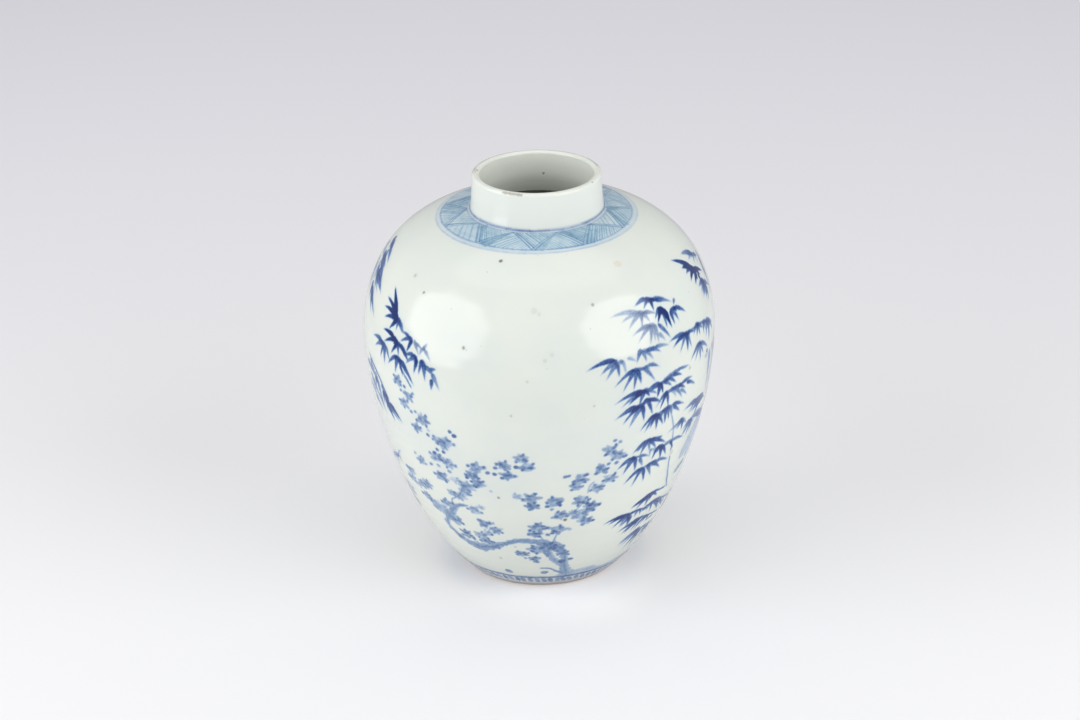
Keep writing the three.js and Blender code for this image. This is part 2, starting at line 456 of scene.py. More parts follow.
@dataclass(frozen=True)
class Glaze:
    """The thick, slightly blue-green transparent glaze over white porcelain."""

    body: tuple = srgb(220, 225, 217)
    cool: tuple = srgb(215, 221, 216)
    warm: tuple = srgb(222, 224, 212)
    # Painted light and shade inside the jar: inner is a lifted white near the mouth, shade a darker tone lower
    # down
    inner: tuple = srgb(238, 241, 232)
    shade: tuple = srgb(196, 200, 190)
    speck: tuple = srgb(178, 178, 165)
    roughness: float = 0.07
    rougher: float = 0.05
    swell: float = 0.10
    pitting: float = 0.006

    def group(self) -> Tree:
        """Builds the group that colours and models the glaze.

        Two clouds of about 50 and 15 millimetres lean the colour cool or warm, it warms a little towards the
        foot, and pinholes stand in a few cells of a cell pattern. Inside the jar the colour is painted light
        and
        shade: whiter near the mouth, darker lower down. The relief is a slow swell and the fine
        pitting of a thick glaze, in millimetres.
        """
        shader, (place, inside), out = new_group(
            "glaze_with_painted_inside_light", {"Place": "Vector", "Inside": "Float"},
            {"Color": "Color", "Roughness": "Float", "Height": "Float"})
        height = shader.split(place)[2]
        small = shader.cloud(place, 70, 4, 5.1, 0.3, 0.75)
        colour = shader.mix(shader.cloud(place, 17, 3, 1.7, 0.35, 0.68), self.body, self.cool)
        colour = shader.mix(shader.times(shader.ramp(height, 0.11, 0.01), 0.4), colour, self.warm)
        colour = shader.mix(shader.times(small, 0.10), colour, self.warm)
        # Painted light and shade inside: whiter near the mouth, darker deeper down
        inside_light_and_shade = shader.mix(shader.ramp(height, 0.271, 0.257), self.inner, self.shade)
        colour = shader.mix(inside, colour, inside_light_and_shade)
        cells = shader.node("TexVoronoi", {"Vector": place, "Scale": 210.0}).outputs
        chance = shader.node("SeparateColor", {0: cells["Color"]}).outputs[0]
        chosen = shader.math("GREATER_THAN", chance, 0.965)
        hole = shader.times(chosen, shader.ramp(cells["Distance"], 0.13, 0.05), 0.7)
        pits = shader.times(shader.cloud(place, 420, 2, 2.2), self.pitting)
        relief = shader.math("MULTIPLY_ADD", shader.cloud(place, 38, 1, 9.3), self.swell, pits)
        shader.feed(out, {
            "Color": shader.mix(hole, colour, self.speck),
            "Roughness": shader.math("MULTIPLY_ADD", small, self.rougher, self.roughness),
            "Height": shader.math("MULTIPLY_ADD", hole, -0.03, relief)})
        return shader.tree


@dataclass(frozen=True)
class Cobalt:
    """Cobalt under the glaze: each channel of the white is dimmed by e to the minus depth times its strength.

    Each field but the last two has a number for red, green and blue.
    """

    strength: tuple = (1.0, 0.66, 0.04)
    thickening: tuple = (0.0, 0.055, 0.285)
    grey: tuple = (0.0, 0.08, 0.12)
    teal: tuple = (0.0, -0.11, 0.0)
    thick: float = 0.6
    fullest: float = 5.2

    def group(self) -> Tree:
        """Builds the group that dims a glaze colour by ink of a depth, granular at the scale of the brush.

        Thin ink is a clear blue: green and blue are dimmed more by the share that the cube of the depth has
        of itself and the cube of a thick depth. A cast above 0 greys the ink, one below 0 turns it to teal.
        """
        shader, (place, glaze, depth, cast), out = new_group(
            "cobalt_under_glaze", {"Place": "Vector", "Glaze": "Color", "Depth": "Float", "Cast": "Float"},
            {"Color": "Color"})
        grain = shader.cloud(place, 900, 3, 3.0, 0.25, 0.8, 0.8, 1.18)
        pools = shader.cloud(place, 170, 2, 6.0, 0.3, 0.72, 0.8, 1.2)
        laid = shader.math("MINIMUM", shader.times(depth, grain, pools), self.fullest)
        greyed = shader.times(shader.math("MAXIMUM", cast, 0.0), laid)
        tealed = shader.times(shader.math("MAXIMUM", shader.times(cast, -1.0), 0.0), laid)
        cube = shader.math("POWER", laid, 3.0)
        thick = shader.math("DIVIDE", cube, shader.math("ADD", cube, self.thick**3))
        left = {}
        for k, channel in enumerate(zip(self.strength, self.thickening, self.grey, self.teal)):
            strength, thickening, grey, teal = channel
            part = shader.times(laid, shader.math("MULTIPLY_ADD", thick, thickening, strength))
            part = shader.math("MULTIPLY_ADD", greyed, grey, part)
            part = shader.math("MULTIPLY_ADD", tealed, teal, part)
            left[k] = shader.math("POWER", math.e, shader.times(part, -1.0))
        dimming = shader.node("CombineColor", left).outputs[0]
        shader.feed(out, {"Color": shader.mix(1.0, glaze, dimming, "MULTIPLY")})
        return shader.tree


@dataclass(frozen=True)
class Biscuit:
    """Bare fired clay at the foot: pale, flushed orange where the glaze ends, and grey at its lowest edge,
    partly grime and partly painted contact shadow.
    """

    clay: tuple = srgb(182, 174, 172)
    flush: tuple = srgb(196, 172, 162)
    grime_and_contact_shadow: tuple = srgb(146, 134, 126)
    roughness: float = 0.72

    def material(self, name: str) -> Material:
        """Makes the bare clay, with grit in relief."""
        material, shader, place = new_material(name)
        height = shader.split(place)[2]
        flush = shader.times(shader.ramp(height, 0.0015, 0.0052), shader.cloud(place, 45, 3, 0, 0.3, 0.6))
        # Painted contact shadow mixed with grime: darker grey in the lowest 1.6 mm of the foot, where it meets
        # the floor
        grime_and_contact_shadow = shader.times(shader.ramp(height, 0.0016, 0.0), shader.cloud(place, 160, 4, 0, 0.3, 0.62))
        grit = shader.cloud(place, 1600, 3, 7.0)
        colour = shader.mix(grime_and_contact_shadow, shader.mix(flush, self.clay, self.flush), self.grime_and_contact_shadow)
        colour = shader.mix(shader.ramp(grit, 0.6, 0.75, 0.0, 0.4), colour, self.grime_and_contact_shadow)
        shader.end(colour, self.roughness, shader.times(grit, 0.12))
        return material


@dataclass(frozen=True)
class Marks:
    """What the kiln and the years left: iron specks, rust, and the tones of a worn lip; neck is a lighter glaze
    for the neck's outside, painted light.
    """

    iron: tuple = srgb(70, 62, 52)
    rust: tuple = srgb(212, 197, 174)
    # Painted light: a lighter glaze for the outside of the neck and lip
    neck: tuple = srgb(234, 238, 231)
    thin: tuple = srgb(226, 217, 196)
    rubbed: tuple = srgb(158, 150, 136)


# Chips and specks on the neck: angle, radius, height, size in millimetres, and three parts of the colour
NECK_MARKS = (
    (-97, 40.4, 285.6, 1.1, 148, 136, 116), (-92, 41, 286, 0.7, 160, 148, 128),
    *((-31 + 2.1 * k, 43.2, 286.2, 1.2 + 0.35 * (k % 3 == 1), 184 - 8 * (k % 4), 174, 163) for k in range(9)),
    (172, 44, 286.2, 1.8, 136, 134, 126), (165, 44, 286.2, 1.1, 160, 156, 148),
    (-112, 44, 286, 1.5, 140, 120, 96), (-122, 44.2, 286, 1.3, 150, 130, 104),
    (-134, 44.2, 286, 1.3, 148, 134, 112), (-146, 44.2, 286, 1.2, 154, 142, 122),
    (137, 44.2, 286.1, 1.2, 150, 140, 124), (60, 43, 286.4, 1, 180, 164, 152),
    (173, 40.2, 269.4, 1.3, 136, 134, 125), (149, 40.2, 275, 1, 146, 144, 134),
)


class Finishes:
    """The jar's materials, which share their node groups."""

    def __init__(self) -> None:
        """Builds the groups once and a material from each finish."""
        self.glaze_group, self.cobalt_group = Glaze().group(), Cobalt().group()
        self.clay, self.marks = Biscuit(), Marks()
        self.glaze = self.glazed("porcelain_glaze", lambda shader, place, glaze: glaze)
        self.cobalt = self.glazed("cobalt_painting", self.painted)
        self.iron = self.glazed("iron_marks", self.stained)
        self.lip = self.glazed("lip_wear_and_neck_light_glaze", self.lip_wear_and_neck_light)
        self.biscuit = self.clay.material("foot_biscuit")

    def glazed(self, name: str, colour: Callable) -> Material:
        """Makes a glazed material, whose colour a function works out from the shader, place and glaze."""
        material, shader, place = new_material(name)
        inputs = {"Place": place, "Inside": shader.read(INSIDE)}
        glaze = shader.node("Group", inputs, node_tree=self.glaze_group).outputs
        shader.end(colour(shader, place, glaze["Color"]), glaze["Roughness"], glaze["Height"])
        return material

    def painted(self, shader: Shader, place: Socket, glaze: Socket) -> Socket:
        """The glaze over ink, whose depth and greyness the brush left at the vertices."""
        inputs = {"Place": place, "Glaze": glaze, "Depth": shader.read(DEPTH), "Cast": shader.read(CAST)}
        return shader.node("Group", inputs, node_tree=self.cobalt_group).outputs[0]

    def stained(self, shader: Shader, place: Socket, glaze: Socket) -> Socket:
        """The glaze with iron or rust showing through, as strong as the depth at the vertices."""
        broken = shader.times(shader.read(DEPTH), shader.cloud(place, 1500, 2, 4.0, 0.2, 0.7, 0.6, 1.1))
        stain = shader.mix(shader.read(CAST), self.marks.iron, self.marks.rust)
        return shader.mix(shader.math("MINIMUM", broken, 1.0), glaze, stain)

    def lip_wear_and_neck_light(self, shader: Shader, place: Socket, glaze: Socket) -> Socket:
        """Glaze that has rubbed thin on the lip and along its edge behind, and chipped in a few places, over a
        neck whose outside is lightened as painted light.
        """
        east, north, height = shader.split(place)
        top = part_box("neck_collar")[1][2]
        on_lip = shader.ramp(height, top - 2.2 * MM, top - 0.4 * MM)
        outside = shader.math("SUBTRACT", 0.5, shader.read(INSIDE), clamp=True)
        thin = shader.times(shader.cloud(place, 60, 4, 8.0, 0.42, 0.62), on_lip, 0.35)
        chips = shader.times(shader.cloud(place, 210, 5, 1.0, 0.64, 0.68),
                             shader.cloud(place, 30, 1, 2.5, 0.5, 0.6))
        squares = shader.math("MULTIPLY_ADD", east, east, shader.times(north, north))
        edge = shader.ramp(shader.math("SQRT", squares), 40.7 * MM, 42.3 * MM, 0.0, 0.75)
        behind = shader.times(shader.ramp(north, -0.006, 0.012),
                              shader.ramp(height, top - 4 * MM, top - 2 * MM))
        # Painted light: the outside of the neck and lip is lightened to the neck colour
        colour = shader.mix(outside, glaze, self.marks.neck)
        colour = shader.mix(thin, colour, self.marks.thin)
        colour = shader.mix(shader.times(chips, on_lip), colour, self.clay.flush)
        rubbed = shader.times(edge, behind, shader.cloud(place, 95, 3, 5.5, 0.34, 0.56))
        colour = shader.mix(rubbed, colour, self.marks.rubbed)
        frayed = shader.times(shader.cloud(place, 700, 2, 6.5), 1.6 * MM)
        for turned, radius, high, reach, *tone in NECK_MARKS:
            side = math.radians(turned)
            spot = tuple(MM * value for value in (radius * math.sin(side), -radius * math.cos(side), high))
            away = shader.math("ADD", shader.away(place, spot), frayed)
            mark = shader.ramp(away, (reach + 1.1) * MM, (0.6 * reach + 0.6) * MM)
            colour = shader.mix(mark, colour, srgb(*tone))
        return colour


@dataclass
class InkFilm:
    """The colour on the whole wall, charted in fine cells: rows by rise, columns by angle round the jar.

    Where strokes cross, their depths add as the cube root of the sum of their cubes, so that thick colour
    covers thin. Each cell belongs to the painted piece whose stroke is deepest there.
    """

    wall: Wall
    columns: int = 3000
    pitch: float = 0.25
    first_angle: float = -92.0
    soft_passes: int = 3
    bleed_passes: int = 9
    bleed: float = 0.24
    thinnest: float = 0.015
    owner_reach: int = 8
    lift: float = 0.06

    def __post_init__(self) -> None:
        """Starts with a clean wall."""
        shape = (int(self.wall.rises[-1] / self.pitch), self.columns)
        self.step = 360 / self.columns
        self.cubes, self.sums, self.greys, self.deepest = (np.zeros(shape, np.float32) for _ in range(4))
        self.owner = np.zeros(shape, np.int8)
        self.pieces: list[str] = []

    def enter(self, piece: str) -> int:
        """Gives a painted piece its number, from 1."""
        self.pieces.append(piece)
        return len(self.pieces)

    def patch(self, angle: Array, rise: Array, depth: Array) -> tuple[Array, tuple]:
        """Collects a stroke's points in cells, the deepest in each, with the cells' place on the chart."""
        row = np.rint(rise / self.pitch).astype(int)
        column = np.rint((angle - self.first_angle) / self.step).astype(int)
        low, left = row.min(), column.min()
        cells = np.zeros((row.max() - low + 1, column.max() - left + 1), np.float32)
        np.maximum.at(cells, (row - low, column - left), depth)
        rows, columns = (np.arange(count) for count in cells.shape)
        return cells, np.ix_(rows + low, (columns + left) % self.columns)

    def add(self, angle: Array, rise: Array, depth: Array, cast: float, number: int) -> None:
        """Adds a stroke.

        Args:
            angle: the angle of each point of a fine grid over the stroke.
            rise: its rise.
            depth: the ink's depth there.
            cast: how grey the ink dries.
            number: the painted piece that the stroke belongs to.
        """
        cells, here = self.patch(angle, rise, depth)
        self.cubes[here] += cells**3
        self.sums[here] += cells
        self.greys[here] += cells * cast
        self.owner[here] = np.where(cells > self.deepest[here], number, self.owner[here])
        self.deepest[here] = np.maximum(cells, self.deepest[here])

    def wipe(self, angle: Array, rise: Array, keep: float) -> None:
        """Takes colour off again where a stroke goes, down to a share of its depth."""
        cells, here = self.patch(angle, rise, np.ones(angle.shape))
        self.cubes[here] *= np.where(cells > 0, keep**3, 1)

    def soften(self, values: Array, passes: int) -> Array:
        """Spreads values over the chart: each pass mixes a cell half and half with its neighbours."""
        for _ in range(passes):
            for axis in (0, 1):
                values = (np.roll(values, 1, axis) + 2 * values + np.roll(values, -1, axis)) / 4
        return values

    def settle(self) -> None:
        """Lets the colour sink into the glaze: soft edges, and a little bleeding further out."""
        sharp = self.soften(np.cbrt(self.cubes), self.soft_passes)
        wide = self.soften(sharp, self.bleed_passes)
        self.depth = sharp + self.bleed * (wide - 0.5 * sharp)
        passes = self.soft_passes + self.bleed_passes
        self.cast = self.soften(self.greys, passes) / np.maximum(self.soften(self.sums, passes), 1e-6)
        for _ in range(self.owner_reach):
            near = [np.roll(self.owner, step, axis) for step in (-1, 1) for axis in (0, 1)]
            self.owner = np.where(self.owner == 0, np.maximum.reduce(near), self.owner)

    def peel(self, piece: str, material: Material, stride: tuple[int, int] = (2, 2)) -> None:
        """Takes one painted piece off the chart as a mesh of the cells with its ink, just above the glaze.

        The mesh is shaded as the wall under it is.

        Args:
            piece: the painted piece.
            material: the finish.
            stride: how many cells of the chart go up and along in one face.
        """
        up, along = stride
        number = self.pieces.index(piece) + 1
        depth, cast, owner = (chart[::up, ::along] for chart in (self.depth, self.cast, self.owner))
        across = depth.shape[1]
        fullest, owned = (
            np.maximum.reduce([part[rows] for part in (chart, np.roll(chart, -1, 1))
                               for rows in (slice(None, -1), slice(1, None))])
            for chart in (depth, owner))
        row, column = np.nonzero((fullest > self.thinnest) & (owned == number))
        rows = np.stack([row, row, row + 1, row + 1], axis=-1)
        columns = np.stack([column, column + 1, column + 1, column], axis=-1)
        used, faces = np.unique(rows * across + columns % across, return_inverse=True)
        angle = self.first_angle + used % across * self.step * along
        rise = used // across * self.pitch * up
        spots = np.stack([columns, rows], axis=-1).reshape(-1, 2).astype(float)
        low, high = spots.min(axis=0), spots.max(axis=0)
        mesh = make_mesh(piece, self.wall.place(angle, rise, self.lift), faces.reshape(-1, 4),
                         0.01 + 0.98 * (spots - low) / (high - low),
                         {DEPTH: depth.ravel()[used], CAST: cast.ravel()[used]})
        mesh.normals_split_custom_set_from_vertices(self.wall.normal(angle, rise))
        make_piece(mesh, material)


@dataclass
class Brush:
    """A brush that paints one piece of the design into the film."""

    film: InkFilm
    piece: str
    seed: int
    grain: float = 0.16
    wander: float = 1.5

    def __post_init__(self) -> None:
        """Seeds the brush's own random numbers and enters the piece in the film."""
        self.wall = self.film.wall
        self.random = np.random.default_rng(self.seed)
        self.number = self.film.enter(self.piece)

    def lay(self, line: Array, widths: Array, depths: Array, cast: float, ragged: float = 0.0,
            wipe: bool = False) -> None:
        """Lays one stroke.

        Its points stand a grain apart along the line and across it, along the line's left normal. The
        depth is greater towards both edges, where ink pools, and varies in a few streaks along the hairs.

        Args:
            line: the stroke's middle line, rows of (angle, rise).
            widths: its width at each row, in millimetres.
            depths: the ink's depth at each row.
            cast: how grey the ink dries.
            ragged: how unsteady the two edges are, as a share of the width.
            wipe: True to take colour off down to the first depth as a share, instead of adding any.
        """
        radius = self.wall.radius_at(line[:, 1])
        east, north = np.radians(np.gradient(line[:, 0])) * radius, np.gradient(line[:, 1])
        length = np.hypot(east, north) + 1e-9
        along = np.concatenate([[0], np.cumsum((length[1:] + length[:-1]) / 2)])
        rows, columns = int(along[-1] / self.grain) + 2, int(widths.max() / self.grain) + 2
        at, side = np.linspace(0, along[-1], rows), np.linspace(-1, 1, columns)
        known = (line[:, 0], line[:, 1], widths, depths, east / length, north / length, radius)
        angle, rise, width, depth, east, north, radius = (
            np.interp(at, along, values)[:, None] for values in known)
        knots = int(along[-1] / self.wander) + 2
        places = np.linspace(0, along[-1], knots)
        edges = [np.interp(at, places, self.random.normal(size=knots)) for _ in range(2)]
        uneven = 1 + ragged * np.where(side < 0, edges[0][:, None], edges[1][:, None])
        across = side * width / 2 * uneven
        angle = angle - np.degrees(north / radius) * across
        rise = rise + east * across
        if wipe:
            self.film.wipe(angle, rise, float(depths[0]))
            return
        phase, t = self.random.uniform(0, math.tau, 2), (at / max(along[-1], 1e-9))[:, None]
        streaks = 1 + 0.10 * np.sin(7 * side + phase[0] + 2 * t) + 0.07 * np.sin(13 * side + phase[1] - 3 * t)
        self.film.add(angle, rise, depth * (0.9 + 0.18 * side**2) * streaks, cast, self.number)

    def path(self, points: Array, depth: float, cast: float, rows: int = 40, ragged: float = 0.08) -> None:
        """Lays a stroke with round ends along points (angle, rise, width)."""
        curve = smooth_line(np.array(points, float), rows)
        t = np.linspace(0, 1, rows)
        ends = np.clip(np.minimum(t, 1 - t) * 12, 0.03, 1) ** 0.5
        depths = depth * (1 + 0.16 * smooth_line(self.random.normal(size=(6, 1)), rows)[:, 0])
        widths = np.maximum(curve[:, 2], 0.3) * ends
        self.lay(curve[:, :2], widths, np.maximum(depths, 0.3 * depth), cast, ragged)

    def leaf(self, start: Array, tip: Array, ink: Ink, broad: float = 1.0) -> None:
        """Lays a pointed leaf, which swells to a third of its length and is lifted off to a tip.

        Its width goes as a power of the sine of pi times the root of t, its colour thins to the tip, and
        its line bows upwards by a share of how far it goes sideways.

        Args:
            start: where the brush is pressed down.
            tip: near where it is lifted off.
            ink: the ink.
            broad: how broad the leaf is for its length.
        """
        end = start + 1.08 * (tip - start)
        sideways = abs(math.radians(end[0] - start[0])) * float(self.wall.radius_at(start[1]))
        t = np.linspace(0, 1, 14)
        line = start + (end - start) * t[:, None]
        line[:, 1] += 0.30 * sideways * t * (1 - t)
        length = math.hypot(sideways, end[1] - start[1])
        width = broad * (1.35 + 0.075 * length) * (1 + 0.16 * self.random.normal())
        widths = width * np.maximum(np.sin(math.pi * t**0.48), 0) ** 1.3 + 0.15
        depth, cast = ink.value
        depths = depth * (1.25 - 0.7 * t) * np.clip(5 * (1 - t), 0.2, 1) * (1 + 0.2 * self.random.normal())
        self.lay(line, widths, depths, cast, 0.06)

    def dab(self, start: tuple, heading: float, length: float, width: float, depth: float,
            cast: float) -> None:
        """Lays a short blunt dab from a place, heading in degrees above the right."""
        t = np.linspace(0, 1, 7)
        radius, turned = float(self.wall.radius_at(start[1])), math.radians(heading)
        out = length * t[:, None] * np.array([math.degrees(math.cos(turned) / radius), math.sin(turned)])
        widths = width * np.maximum(np.sin(math.pi * (0.06 + 0.9 * t**0.9)), 0) ** 0.55 + 0.1
        self.lay(np.array(start) + out, widths, depth * (1.08 - 0.2 * t), cast, 0.06)


# Sprays of bamboo on the right: the ink, then angle and rise of the first and last place where leaves
# spring from, and of each place where a leaf is lifted off
RIGHT_GROVE = (
    (DEEP, 41, 246.5, 45, 243, 36, 243.7, 39, 240.2, 43, 237, 49.5, 241.5, 52, 237.5),
    (LILAC, 36, 239.5, 38.5, 238, 25.7, 240.2, 29.2, 235.5, 31.1, 230, 36.3, 229, 40, 231, 43.5, 234.5),
    (BLACK, 45.5, 237.5, 48, 233, 42.5, 231.5, 43.3, 228.5, 46.7, 223.3, 48.8, 222.4, 48.5, 226),
    (DEEP, 50, 232, 53, 233, 50.6, 223, 53.1, 223.7, 57.7, 226.5),
    (LILAC, 54.2, 238, 54.2, 238, 52.8, 234.8),
    (LILAC, 39, 229, 41.5, 228.5, 32.3, 225.3, 34, 220, 38.4, 216.2, 40.5, 218, 42, 215.8),
    (DARK, 43, 227.5, 43, 227.5, 47.3, 215.8), (SOFT, 42.5, 221.5, 42.5, 221.5, 44.8, 215.3),
    (DARK, 24.5, 212.5, 25.3, 209, 15.3, 208, 19.5, 204, 21.3, 200, 25.7, 200.5),
    (MID, 26.5, 211.8, 27.2, 211, 25, 205, 28.3, 200.8), (DARK, 29, 211.8, 29, 211.8, 32.3, 207.8),
    (MID, 34.2, 215.5, 35, 214, 32.3, 207, 36, 206.2),
    (MID, 36, 213.5, 40, 213.5, 38.8, 206.2, 42.1, 209.2, 46, 211),
    (DARK, 31, 203, 32.5, 202, 24.4, 194.2, 27.1, 189.5, 30.8, 188.5, 33.6, 191.8),
    (MID, 34.5, 202.5, 36, 203, 39.2, 190.3, 41.3, 199),
    (DEEP, 54.5, 213, 56.5, 212.5, 46.7, 212.7, 48.1, 207.8, 51.3, 202.4, 55.4, 200.8, 57.7, 201, 60.5, 210),
    (DARK, 63, 214, 64, 212, 60, 208.7, 61.8, 206, 64, 205, 66.6, 207.8),
    (MID, 67.5, 211.5, 70, 209.5, 67.3, 202.8, 69.3, 203.5, 72.5, 200.5, 76.5, 203.5),
    (DARK, 63, 200, 64, 199, 57.3, 192, 60, 189.5, 63.6, 186.5, 66, 190, 70, 191),
    (BLACK, 74.5, 247, 76.5, 243, 65.5, 259, 68.2, 250.5, 68.6, 246, 69.2, 240.3, 74.5, 236.5, 79, 236.5,
     82.5, 236.5),
    (MID, 78, 232.5, 80, 230.5, 72.7, 232.5, 73.1, 227, 75.1, 224.2, 78, 222.5, 84.5, 223),
    (MID, 84, 249.5, 86, 247, 74.9, 256.8, 76.8, 250.3, 80.4, 245, 84, 242, 88, 244),
    (DEEP, 34, 186, 35.5, 185.5, 24.7, 181.3, 27, 178, 29.2, 178.3, 33, 175.8, 37, 180.5, 40, 180.3),
    (DEEP, 41, 187, 42, 186, 36.5, 186, 40.4, 177.5, 42.7, 179.2),
    (DARK, 43, 187, 47, 189, 46.6, 181.7, 48.8, 182.5, 51.9, 185.4), (MID, 47, 190, 47, 190, 56, 189),
    (DEEP, 32, 175.5, 34.5, 174.5, 24.7, 169.2, 27.6, 165, 29.8, 160.8, 35.3, 163.3),
    (DARK, 35.5, 179, 37.5, 177.5, 34.5, 173, 38.7, 166, 40.6, 174, 42, 172.5),
    (DEEP, 43.8, 178.5, 44.8, 177.5, 40.2, 169.8, 42.1, 167.5, 45.7, 166.8),
    (DARK, 47, 178.5, 52, 179, 49.4, 171.3, 52.8, 168, 54.1, 174.2, 58.2, 178.8),
    (DARK, 51.5, 175, 51.5, 175, 55.4, 168), (DARK, 55, 177.5, 55, 177.5, 60.4, 171.7),
    (DEEP, 39.5, 164.5, 41.3, 163.5, 34.5, 155.5, 36.3, 153.3, 38.3, 155, 41.1, 152.3, 44, 154.3),
    (DARK, 43.5, 165.5, 47, 166, 42.5, 158.5, 44.9, 154.6, 46.7, 155.8, 48.2, 158),
    (DARK, 48, 166.5, 48.5, 164, 54.6, 161.5, 52.3, 157.8),
    (MID, 55, 149.5, 55.8, 148, 51, 145, 52.7, 142.5, 55.8, 139.5, 58.5, 143),
    (MID, 64, 156, 66.5, 154.5, 55.5, 155.3, 58.8, 150.5, 62, 148, 66, 149, 74, 149),
    (MID, 61.5, 142.5, 62.5, 141.5, 57, 139, 59.2, 135.3, 62.5, 136, 65, 138.5),
    (SOFT, 63, 144, 63, 144, 76, 137),
    (DEEP, 37.5, 145.5, 39.5, 145, 32.5, 138, 35.6, 135.3, 39.5, 135.8, 42.5, 135.8, 47.2, 136.5),
    (DEEP, 32, 134.5, 33.8, 133.8, 27, 127.5, 29.6, 122.3, 34.4, 122.3),
    (SOFT, 35.3, 134.2, 35.5, 132, 40.3, 130.4, 37.6, 124.2),
    (SOFT, 40.2, 137, 42, 136.5, 40, 130.5, 42.2, 130),
    (DEEP, 43.5, 136, 46, 135.5, 41.7, 127.5, 43.5, 131, 46, 124.5, 48.8, 125.8),
    (MID, 46.6, 135, 46.6, 135, 58.8, 131.3), (DARK, 50, 135.5, 50, 135.5, 52.4, 128),
    (DEEP, 36.5, 122.5, 38.5, 121.5, 31, 113, 34.5, 108.8, 39.6, 110.3),
    (DARK, 40, 123.5, 44.5, 124, 42.7, 112.6, 46.9, 116.3, 50.8, 120),
    (DEEP, 44.4, 90, 48, 92.5, 38, 85.5, 40.5, 82.5, 45.8, 82, 47.8, 86.5, 52, 87),
    (DARK, 48, 81, 54, 82, 45.5, 78.5, 48.3, 75, 51.5, 73, 56, 73, 58.6, 68.5, 63, 68),
    (DEEP, 35.2, 80.5, 37.3, 80.5, 26, 77, 28.2, 75.3, 30.8, 70.5, 34.2, 69.8, 39, 67.3),
    (DARK, 39.7, 81, 43.6, 80.5, 37.5, 76, 41.4, 74.5, 44.5, 75),
    (DEEP, 43.2, 68.5, 46.5, 70, 35, 63.5, 37.8, 59.7, 40.5, 61, 43.1, 59),
    (DARK, 49, 68.5, 53, 67.5, 46, 61, 48.2, 60.5, 52.3, 61.5),
    (DEEP, 48.5, 54, 52, 54.5, 39, 46.3, 42, 43, 45.8, 36.5, 50.5, 36),
    (DARK, 55, 53, 60, 52, 54, 44, 56.6, 40, 60.5, 43), (SOFT, 69.5, 77, 69.5, 77, 67.5, 62),
    (DARK, 79.3, 232.5, 80.3, 226.5, 73.5, 232, 73.7, 224, 76.5, 221, 78.3, 218),
    (LILAC, 91.5, 245, 88, 236, 91, 238, 84.7, 231, 84.1, 220.4),
    (DARK, 71.2, 208.5, 74.5, 205.5, 69, 199, 71.9, 194.4, 76.5, 198.3),
    (DARK, 69.7, 189.5, 69.7, 189.5, 70, 182.5), (SOFT, 72.5, 187, 80, 190, 73.3, 157, 78.1, 164),
    (MID, 61.5, 143.5, 63.5, 141, 58, 133, 60.5, 131.5, 62.4, 132.4),
)
# Sprays of bamboo on the left, in the same way
LEFT_GROVE = (
    (BLACK, -56, 229.3, -54.8, 226, -62.4, 243.5, -64.1, 235.4, -64, 229, -62.2, 223.2, -58.3, 217.6),
    (DARK, -54, 228, -53, 226, -54.5, 219.5, -50.3, 219.3),
    (DEEP, -47.5, 219, -45.8, 218, -51, 220.5, -51.2, 213.6, -47.8, 208.6),
    (LILAC, -45, 218.5, -44, 216.5, -42.4, 209.5, -41, 214),
    (LILAC, -41, 215, -40, 214.5, -42, 209.8, -39.1, 219, -37.3, 207.5),
    (BLACK, -55, 214, -52.5, 211.5, -61.4, 214.8, -60, 207.5, -55.6, 202.5),
    (DARK, -52.5, 212, -50, 210, -51.7, 203, -47.2, 205, -46.8, 202),
    (DARK, -62, 206, -59, 204.5, -68.6, 204.8, -66.7, 199.2, -62.6, 194.5, -60, 191.2, -56.6, 196),
    (DEEP, -53, 202, -50.5, 201, -57.3, 193.9, -53.4, 190.3, -49.5, 190.5, -44.7, 187),
    (DEEP, -44.5, 208.5, -42.8, 206.5, -48.9, 205.5, -47.8, 200.5, -44.1, 196),
    (DARK, -40.8, 207, -39.2, 203.5, -42, 196.5, -39.4, 193.6, -35.5, 197.5),
    (MID, -37.5, 201.5, -36.5, 200, -35, 203.3, -33.8, 189.5),
    (DARK, -36.6, 195.5, -36.6, 195.5, -36.9, 188), (DARK, -76.7, 180, -74, 177, -67.4, 172),
    (MID, -74, 173.5, -72, 170, -68.9, 150, -67, 158),
    (DARK, -68.5, 174.5, -66.5, 172, -69, 167, -66.5, 163, -64.4, 153),
    (DEEP, -63.2, 168, -61, 165, -63.5, 158, -61.7, 154.7, -60, 156),
    (DEEP, -61.5, 162.5, -59.7, 162, -58.3, 149.6, -53.6, 151.8),
    (DARK, -94, 261.5, -88.5, 257.8, -88.1, 254, -82.5, 254, -78.2, 250.5),
    (SOFT, -97, 254, -95, 250, -91.5, 247, -88.5, 247),
    (DARK, -90, 251.5, -86, 248, -84, 245, -78.3, 247, -75.4, 240.7),
    (MID, -92.8, 244, -91, 241, -89, 235.8, -86.5, 230.2),
    (DARK, -85, 243.5, -81.5, 239, -83, 234, -79, 232, -75, 231.8, -71, 233.5),
    (SOFT, -89.6, 232, -89, 231, -85, 225.4),
    (DARK, -82.7, 233, -80, 228, -81, 222, -75.3, 216.8, -71.3, 216.6),
    (SOFT, -64, 117, -66, 113, -60.5, 122.5, -63, 111, -72, 108, -77, 102, -70, 103),
)
# Bamboo stems: angle, rise and width of each point
RIGHT_CULMS = (
    (80, 192, 0.7, 78.4, 172, 0.8, 79, 152, 0.8, 78, 143, 0.7),
    (74.5, 186, 0.6, 75.2, 170, 0.7, 74.3, 154, 0.6),
    (46.5, 165, 0.7, 48.5, 156, 0.8, 50.2, 147, 0.9, 51, 138, 0.8, 51.8, 126, 0.9, 53, 113, 1, 54.8, 103,
     1.1, 56.5, 95, 1.2, 58.8, 89, 1.2),
)
